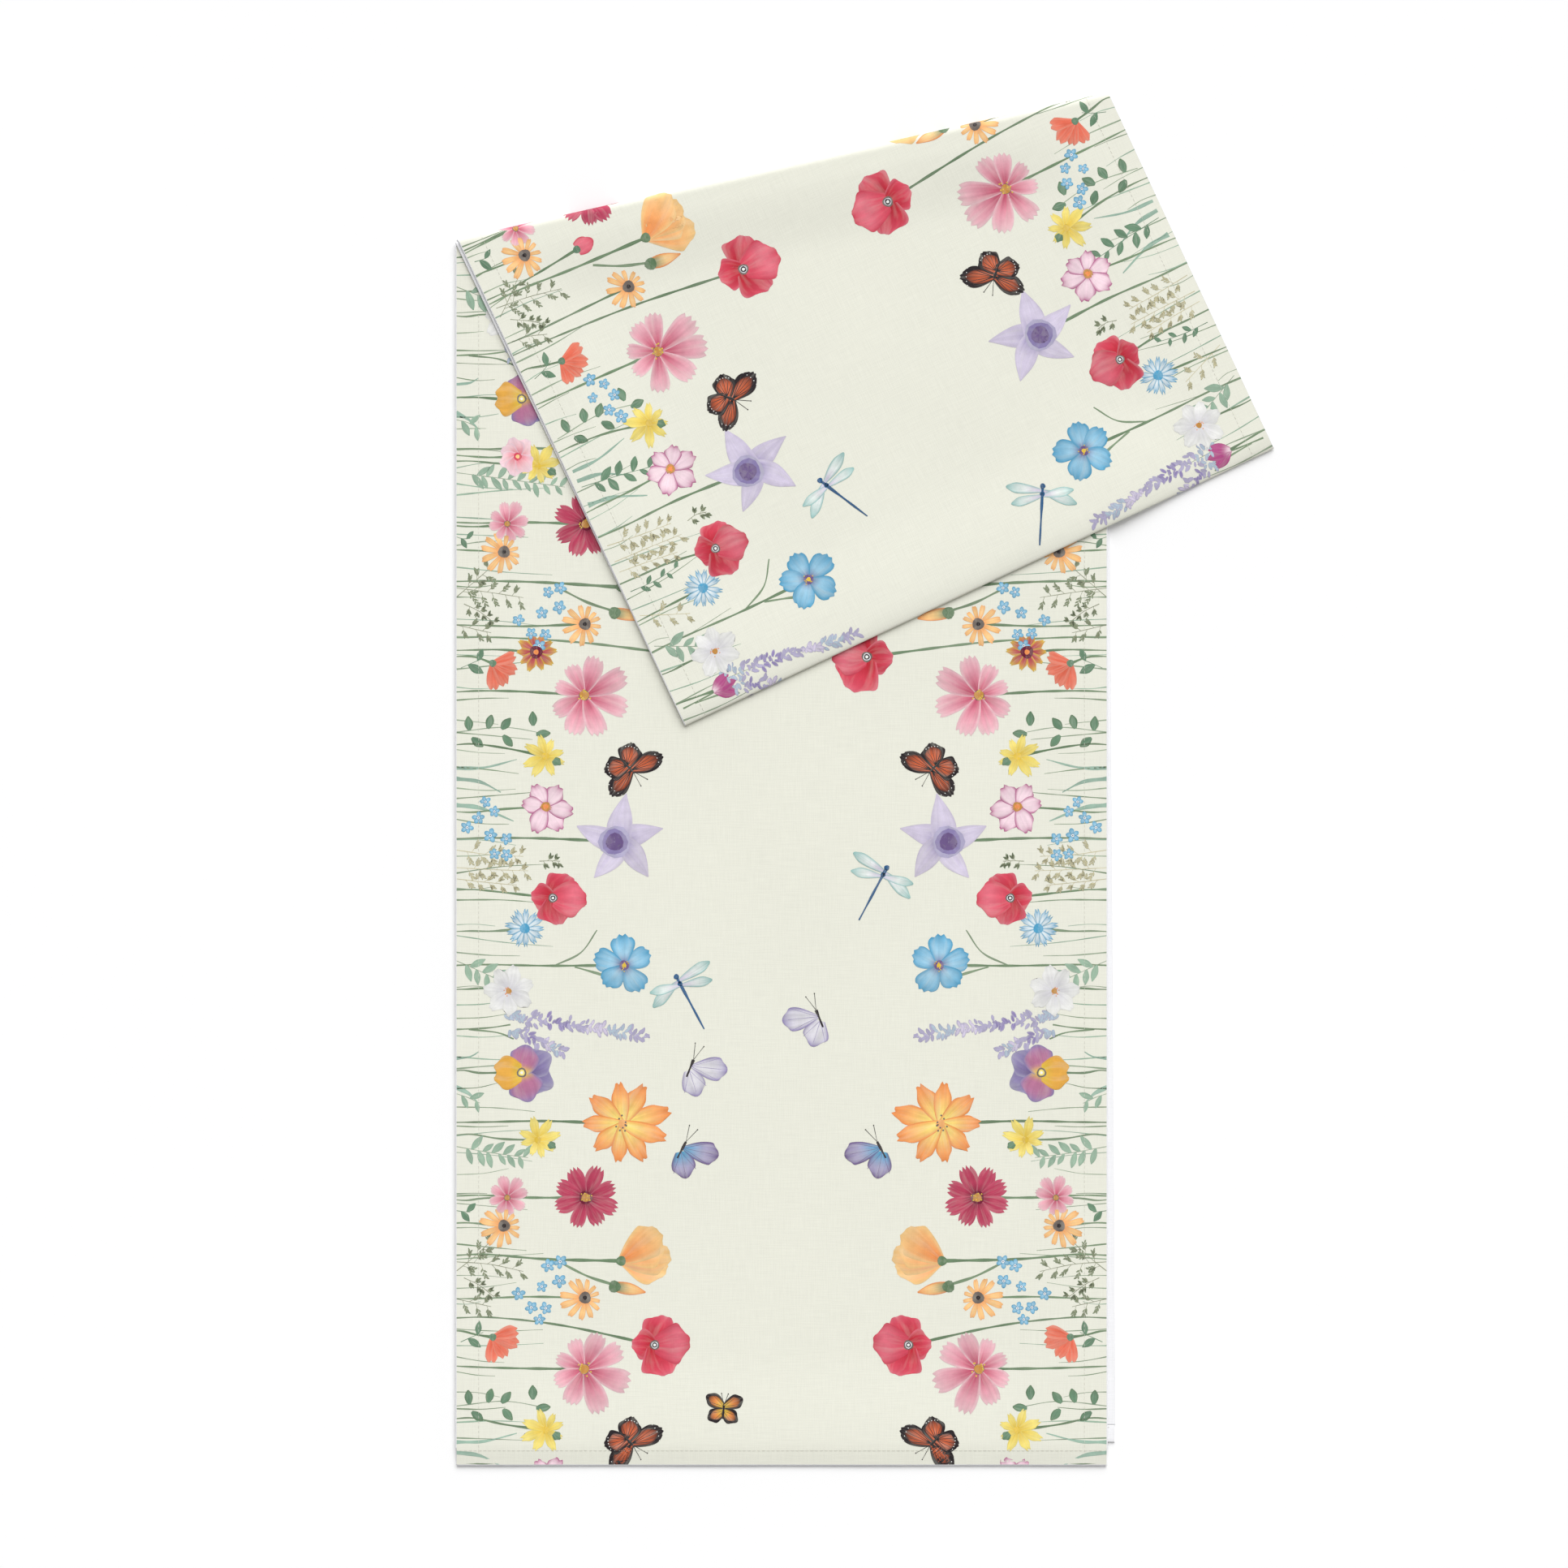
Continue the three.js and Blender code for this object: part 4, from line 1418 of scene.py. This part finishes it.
def paint_dragonfly(drawing, place, chance):
    """A long straight body and two pairs of clear wings."""
    along = direction(DRAGONFLY_TAIL)
    wing = Petal(0.15, 0.25, 0.7, 0.5, 0.1)
    for index, (away, back, size) in enumerate(((94, 2, 23), (-72, 2, 23), (72, 5, 20), (-104, 5, 20))):
        paint_petal(
            drawing, place + along * back, DRAGONFLY_TAIL + away, size, wing, ("lilac", "white", "teal"),
            WING_LEVEL + PETAL_STEP * index, chance, 0.6, 2.2, kind=WINGS, fine=10,
        )
    body = [place, place + along * 10, place + along * 36]
    paint_line(drawing, body, 1.9, 0.9, "navy", TOP_LEVEL, chance, kind=WINGS)
    paint_disc(drawing, place - along, 1.7, "navy", TOP_LEVEL, chance, WINGS)
    paint_disc(drawing, place + along * 4, 1.6, "navy", TOP_LEVEL, chance, WINGS)


def paint_grasses(drawing, start, chance):
    """Fine grasses between the stems, of uneven length and slope."""
    for along in np.arange(4.0, REPEAT, 10.5):
        at = start + along + chance.uniform(-3, 3)
        reach = chance.uniform(14, 62)
        slope = chance.uniform(-0.14, 0.14)
        middle = at + 0.5 * slope * reach + chance.uniform(-1.5, 1.5)
        points = [(-2.0, at), (0.5 * reach, middle), (reach, at + slope * reach)]
        ink = ("grass", "stem", "pale_leaf")[int(chance.integers(0, 3))]
        paint_line(drawing, points, chance.uniform(0.4, 1.1), 0.25, ink, GRASS_LEVEL, chance)


def wanted(repeats, index):
    """Whether the repeat of that index has a motif that is for those repeats."""
    having = {"all": True, "first": index == 0, "second": index == 1, "later": index > 0, "flap": index > 1}
    return having[repeats]


def place_of(place, index):
    """Where a place of one repeat is on the cloth."""
    return np.array(place, float) + np.array([0.0, index * REPEAT]) + FLAP_DRIFT * wanted("flap", index)


def paint_border(drawing, index, chance):
    """One repeat of the border along the left edge."""
    start = place_of((0.0, 0.0), index)[1]

    def at(place):
        return place_of(place, index)

    paint_grasses(drawing, start, chance)
    for order, (name, across, along, radius, turn, repeats, root) in enumerate(BLOOMS):
        if not wanted(repeats, index):
            continue
        if root is not None:
            paint_flower_stem(drawing, at((across, along)), radius, start + root, chance)
        level = {"calyx": EYE_LEVEL, "poppy_front": PETAL_LEVEL + 3}.get(name, PETAL_LEVEL)
        level += FLOWER_STEP * (order % 4)
        paint_flower(drawing, name, at((across, along)), radius, turn, level, chance)
    for name, radius, turn, level in PANSY:
        paint_flower(drawing, name, at(PANSY_PLACE), radius, turn, level, chance)
    across, along = PANSY_PLACE
    paint_flower_stem(drawing, at((across - 15, along)), 14, start + along + 1, chance)
    for place in LATER_FORGET_ME_NOTS if wanted("flap", index) else FORGET_ME_NOTS:
        radius, turn = chance.uniform(3.4, 4.6), chance.uniform(0, 72)
        paint_flower(drawing, "forget_me_not", at(place), radius, turn, PETAL_LEVEL + 2, chance)
    for across, along, way in OVAL_LEAVES:
        paint_petal(
            drawing, at((across, along)) - direction(way) * 4, way, 9, Petal(0.3, 0.3, 0.5, 0.15, 0.0),
            ("leaf", "leaf", "dark_stem"), STEM_LEVEL, chance, kind=GREENERY, fine=7,
        )
    for kind, first, last, count, size, repeats in SPRIGS:
        if wanted(repeats, index):
            paint_sprig(drawing, kind, at(first), at(last), count, size, chance)
    for ink, first, last, points, repeats in STROKES:
        if wanted(repeats, index):
            line = [at(point) for point in points]
            paint_line(drawing, line, first * 2, last * 2, ink, GRASS_LEVEL, chance)
    for first, last in LAVENDER:
        paint_lavender(drawing, at(first), at(last), chance)


def paint_print():
    """The whole print on the flat strip."""
    chance = np.random.default_rng(11)
    edges = {"both": Drawing(), "left": Drawing(), "right": Drawing()}
    for index in range(math.ceil(STRIP_LENGTH / REPEAT)):
        paint_border(edges["both"], index, chance)
        for kind, inks, place, head, repeats, edge in BUTTERFLIES:
            if wanted(repeats, index):
                paint_butterfly(edges[edge], kind, inks, place_of(place, index), head, chance)
        for left_along, right_along, repeats in DRAGONFLIES:
            if wanted(repeats, index):
                paint_dragonfly(edges["left"], place_of((DRAGONFLY_ACROSS, left_along), index), chance)
                paint_dragonfly(edges["right"], place_of((DRAGONFLY_ACROSS, right_along), index), chance)
    both, left, right = (drawing.arrays() for drawing in edges.values())
    return joined([both, mirrored(both), left, mirrored(right)])


def cut_along(mesh, geometry, row, clear_inner=False, clear_outer=False):
    """Cuts a flat mesh along a row, so that it bends where the cloth does."""
    ahead = Vector((-(row.right - row.left), WIDTH, 0.0)).normalized()
    point = Vector((0.0, row.left, 0.0))
    result = bmesh.ops.bisect_plane(
        mesh, geom=geometry, dist=CUT_TOLERANCE, plane_co=point, plane_no=ahead,
        clear_inner=clear_inner, clear_outer=clear_outer,
    )
    return result["geom"]


def trim_sides(mesh):
    """Leaves only the ink that is on the cloth."""
    edge = ply()
    for across, outward in ((edge, -1), (WIDTH - edge, 1)):
        everything = mesh.verts[:] + mesh.edges[:] + mesh.faces[:]
        point, way = Vector((across, 0.0, 0.0)), Vector((outward, 0.0, 0.0))
        bmesh.ops.bisect_plane(
            mesh, geom=everything, dist=CUT_TOLERANCE, plane_co=point, plane_no=way, clear_outer=True
        )


def flat_print(pieces):
    """The print as one flat mesh, trimmed to the cloth and cut where the cloth bends."""
    points, inks, petals, faces, kinds = paint_print()
    mesh = bpy.data.meshes.new("flat_print")
    mesh.from_pydata(points.tolist(), [], faces.tolist())
    mesh.polygons.foreach_set("material_index", kinds.astype(np.int32))
    add_vectors(mesh, "ink", inks)
    add_vectors(mesh, "petal", petals)
    cut = bmesh.new()
    cut.from_mesh(mesh)
    trim_sides(cut)
    ends = [pieces["upper_layer"][1][0], pieces["lower_layer"][1][-1]]
    for row, clear in zip(ends, ({"clear_inner": True}, {"clear_outer": True})):
        cut_along(cut, cut.verts[:] + cut.edges[:] + cut.faces[:], row, **clear)
    for name, (_, rows) in pieces.items():
        # Rows are close together only where the cloth bends. The last row is where the next piece starts.
        bend_rows = [row for row, after in zip(rows, rows[1:]) if after.left - row.left < 0.7 * GRID]
        if name != "lower_layer":
            bend_rows.append(rows[-1])
        if not bend_rows:
            continue
        low = min(min(row.left, row.right) for row in bend_rows) - GRID
        high = max(max(row.left, row.right) for row in bend_rows) + GRID
        near = [face for face in cut.faces if low < face.calc_center_median().y < high]
        geometry = list({part for face in near for part in (*face.verts, *face.edges, face)})
        for row in bend_rows:
            geometry = cut_along(cut, geometry, row)
    cut.to_mesh(mesh)
    cut.free()
    return mesh


def read_vectors(collection, name):
    values = np.zeros(len(collection) * 3, np.float32)
    collection.foreach_get(name, values)
    return values.astype(float).reshape(-1, 3)


def print_cloth(folds):
    """Lays the flat print on the cloth, one piece of print for each stretch."""
    pieces = stretches(folds)
    mesh = flat_print(pieces)
    points = read_vectors(mesh.vertices, "co")
    inks = read_vectors(mesh.attributes["ink"].data, "vector")
    petals = read_vectors(mesh.attributes["petal"].data, "vector")
    outs = in_millimetres("cloth") / 2 + INK_LIFT + INK_STEP * points[:, 2]
    places = lay(folds, points[:, 0], points[:, 1], outs)
    flat = np.column_stack([points[:, :2], np.zeros(len(points))])
    faces = [tuple(polygon.vertices) for polygon in mesh.polygons]
    kinds = np.array([polygon.material_index for polygon in mesh.polygons])
    centres = np.array([points[list(face), :2].mean(0) for face in faces])
    for name, (body, rows) in pieces.items():
        first, last = (row.along(centres[:, 0]) for row in (rows[0], rows[-1]))
        here = (centres[:, 1] > first) & (centres[:, 1] <= last)
        chosen = [faces[index] for index in np.flatnonzero(here)]
        used = sorted({corner for face in chosen for corner in face})
        renumbered = {corner: index for index, corner in enumerate(used)}
        low, high = flat[used, 1].min(), flat[used, 1].max()
        bake = np.column_stack([flat[used, 0] / WIDTH, (flat[used, 1] - low) / (high - low)])
        corners = [[renumbered[corner] for corner in face] for face in chosen]
        piece = mesh_object(
            f"{name}_print", places[used], corners, print_materials(), kinds[here], flat[used], bake
        )
        add_vectors(piece.data, "ink", inks[used])
        add_vectors(piece.data, "petal", petals[used])
        attach(piece, body)
    bpy.data.meshes.remove(mesh)


# --- Stage ----------------------------------------------------------------------------------------


def floor_material():
    made, new = material_once("pale_floor")
    if not new:
        return made
    tree = made.node_tree
    place = node(tree, "ShaderNodeTexCoord").outputs["Object"]
    factor = between(tree, noise(tree, place, 3.0), 0.99, 1.0)
    base = brightened(tree, tuple(bpy.context.scene.runner_colours.floor), factor)
    inputs = {"Base Color": base, "Roughness": 0.95, "Specular IOR Level": 0.1}
    shader = node(tree, "ShaderNodeBsdfPrincipled", inputs)
    output = node(tree, "ShaderNodeOutputMaterial")
    tree.links.new(shader.outputs[0], output.inputs[0])
    return made


def make_floor():
    half = 14.0
    corners = np.array([(-half, -half, 0.0), (half, -half, 0.0), (half, half, 0.0), (-half, half, 0.0)])
    floor = mesh_object("floor", corners, [[0, 1, 2, 3]], [floor_material()])


def make_lights():
    """A pale surround, brightest near the floor, and one broad lamp."""
    world = bpy.data.worlds.new("studio")
    bpy.context.scene.world = world
    world.use_nodes = True
    tree = world.node_tree
    backdrop = tree.nodes["Background"]
    backdrop.inputs["Color"].default_value = (1.0, 1.0, 1.0, 1.0)
    height = node(tree, "ShaderNodeSeparateXYZ", {0: node(tree, "ShaderNodeTexCoord").outputs["Generated"]})
    glow = node(tree, "ShaderNodeMapRange", {0: height.outputs[2], 1: 0.0, 2: 0.4, 3: 1.0, 4: 0.38})
    tree.links.new(glow.outputs[0], backdrop.inputs["Strength"])
    lamp = bpy.data.lights.new("softbox", "SUN")
    lamp.energy = 3.04
    lamp.angle = math.radians(50)
    softbox = bpy.data.objects.new("softbox", lamp)
    softbox.rotation_euler = (math.radians(-48), math.radians(12), 0.0)
    bpy.context.scene.collection.objects.link(softbox)


def make_camera():
    """Straight above the runner, a little to its left, so that it stands right of the middle."""
    height = 6.0
    view_width = 0.979
    left_of_centre, below_centre = 0.0503, 0.0031
    data = bpy.data.cameras.new("camera")
    data.sensor_width = 36.0
    data.lens = data.sensor_width * height / view_width
    data.clip_end = 100.0
    camera = bpy.data.objects.new("camera", data)
    low, high = cad_box
    centre = (low + high) / 2
    camera.location = (centre.x - left_of_centre, centre.y - below_centre, height)
    bpy.context.scene.collection.objects.link(camera)
    bpy.context.scene.camera = camera
    bpy.context.scene.view_settings.view_transform = "Standard"


# --- Operators and panel --------------------------------------------------------------------------


class RUNNER_OT_stage(bpy.types.Operator):
    """Add the floor, the lights and the camera"""

    bl_idname = "runner.stage"
    bl_label = "Stage"

    def execute(self, context):
        make_floor()
        make_lights()
        make_camera()
        return {"FINISHED"}


class RUNNER_OT_cloth(bpy.types.Operator):
    """Add the cloth of every layer and crease, with its turned hems"""

    bl_idname = "runner.cloth"
    bl_label = "Cloth and hems"

    def execute(self, context):
        folds = make_folds()
        end_hems = {"upper_layer": 0, "lower_layer": STRIP_LENGTH}
        for name, (body, rows) in stretches(folds).items():
            piece, flat = cloth_sheet(folds, name, rows, body)
            hem_rows = rows
            if name in end_hems:
                clear = in_millimetres("end_hem") + in_millimetres("cloth")
                inner_end = abs(end_hems[name] - clear)
                kept = [row for row in rows if abs(row.left - end_hems[name]) > clear]
                start = [Row(inner_end, inner_end)]
                hem_rows = start + kept if name == "upper_layer" else kept + start
            hems = [side_hem(folds, name, hem_rows, body, side) for side in ("left", "right")]
            if name in end_hems:
                hems.append(end_hem(folds, name, end_hems[name]))
        return {"FINISHED"}


class RUNNER_OT_seams(bpy.types.Operator):
    """Sew the hems, with needle stitches on the print and bobbin stitches on the reverse"""

    bl_idname = "runner.seams"
    bl_label = "Seams"

    def execute(self, context):
        folds = make_folds()
        for name, (body, rows) in stretches(folds).items():
            for side in ("left", "right"):
                side_seam(folds, name, rows, body, side)
        end_seam(folds, "upper_layer", 0)
        end_seam(folds, "lower_layer", STRIP_LENGTH)
        return {"FINISHED"}


class RUNNER_OT_print(bpy.types.Operator):
    """Print the flower border on every stretch of the cloth"""

    bl_idname = "runner.print"
    bl_label = "Flower border"

    def execute(self, context):
        print_cloth(make_folds())
        return {"FINISHED"}


class RUNNER_PT_panel(bpy.types.Panel):
    """Lists the steps of making the runner, and the sizes and colours they read"""

    bl_idname = "RUNNER_PT_panel"
    bl_label = "Table runner"
    bl_space_type = "VIEW_3D"
    bl_region_type = "UI"
    bl_category = "Runner"

    def draw(self, context):
        layout = self.layout
        for operator in OPERATORS:
            layout.operator(operator.bl_idname)
        for label, group in SETTINGS.items():
            box = layout.box()
            box.label(text=label.replace("runner_", "").capitalize())
            for name in group.__annotations__:
                box.prop(getattr(context.scene, label), name)


OPERATORS = (RUNNER_OT_stage, RUNNER_OT_cloth, RUNNER_OT_seams, RUNNER_OT_print)
SETTINGS = {"runner_sizes": RunnerSizes, "runner_colours": RunnerColours, "runner_inks": PrintInks}


def register():
    for kind in (*SETTINGS.values(), *OPERATORS, RUNNER_PT_panel):
        bpy.utils.register_class(kind)
    for label, group in SETTINGS.items():
        setattr(bpy.types.Scene, label, bpy.props.PointerProperty(type=group))


def unregister():
    for label in SETTINGS:
        delattr(bpy.types.Scene, label)
    for kind in (RUNNER_PT_panel, *reversed(OPERATORS), *SETTINGS.values()):
        bpy.utils.unregister_class(kind)


def main():
    register()
    bpy.ops.runner.stage()
    bpy.ops.runner.cloth()
    bpy.ops.runner.seams()
    bpy.ops.runner.print()


if __name__ == "__main__":
    main()
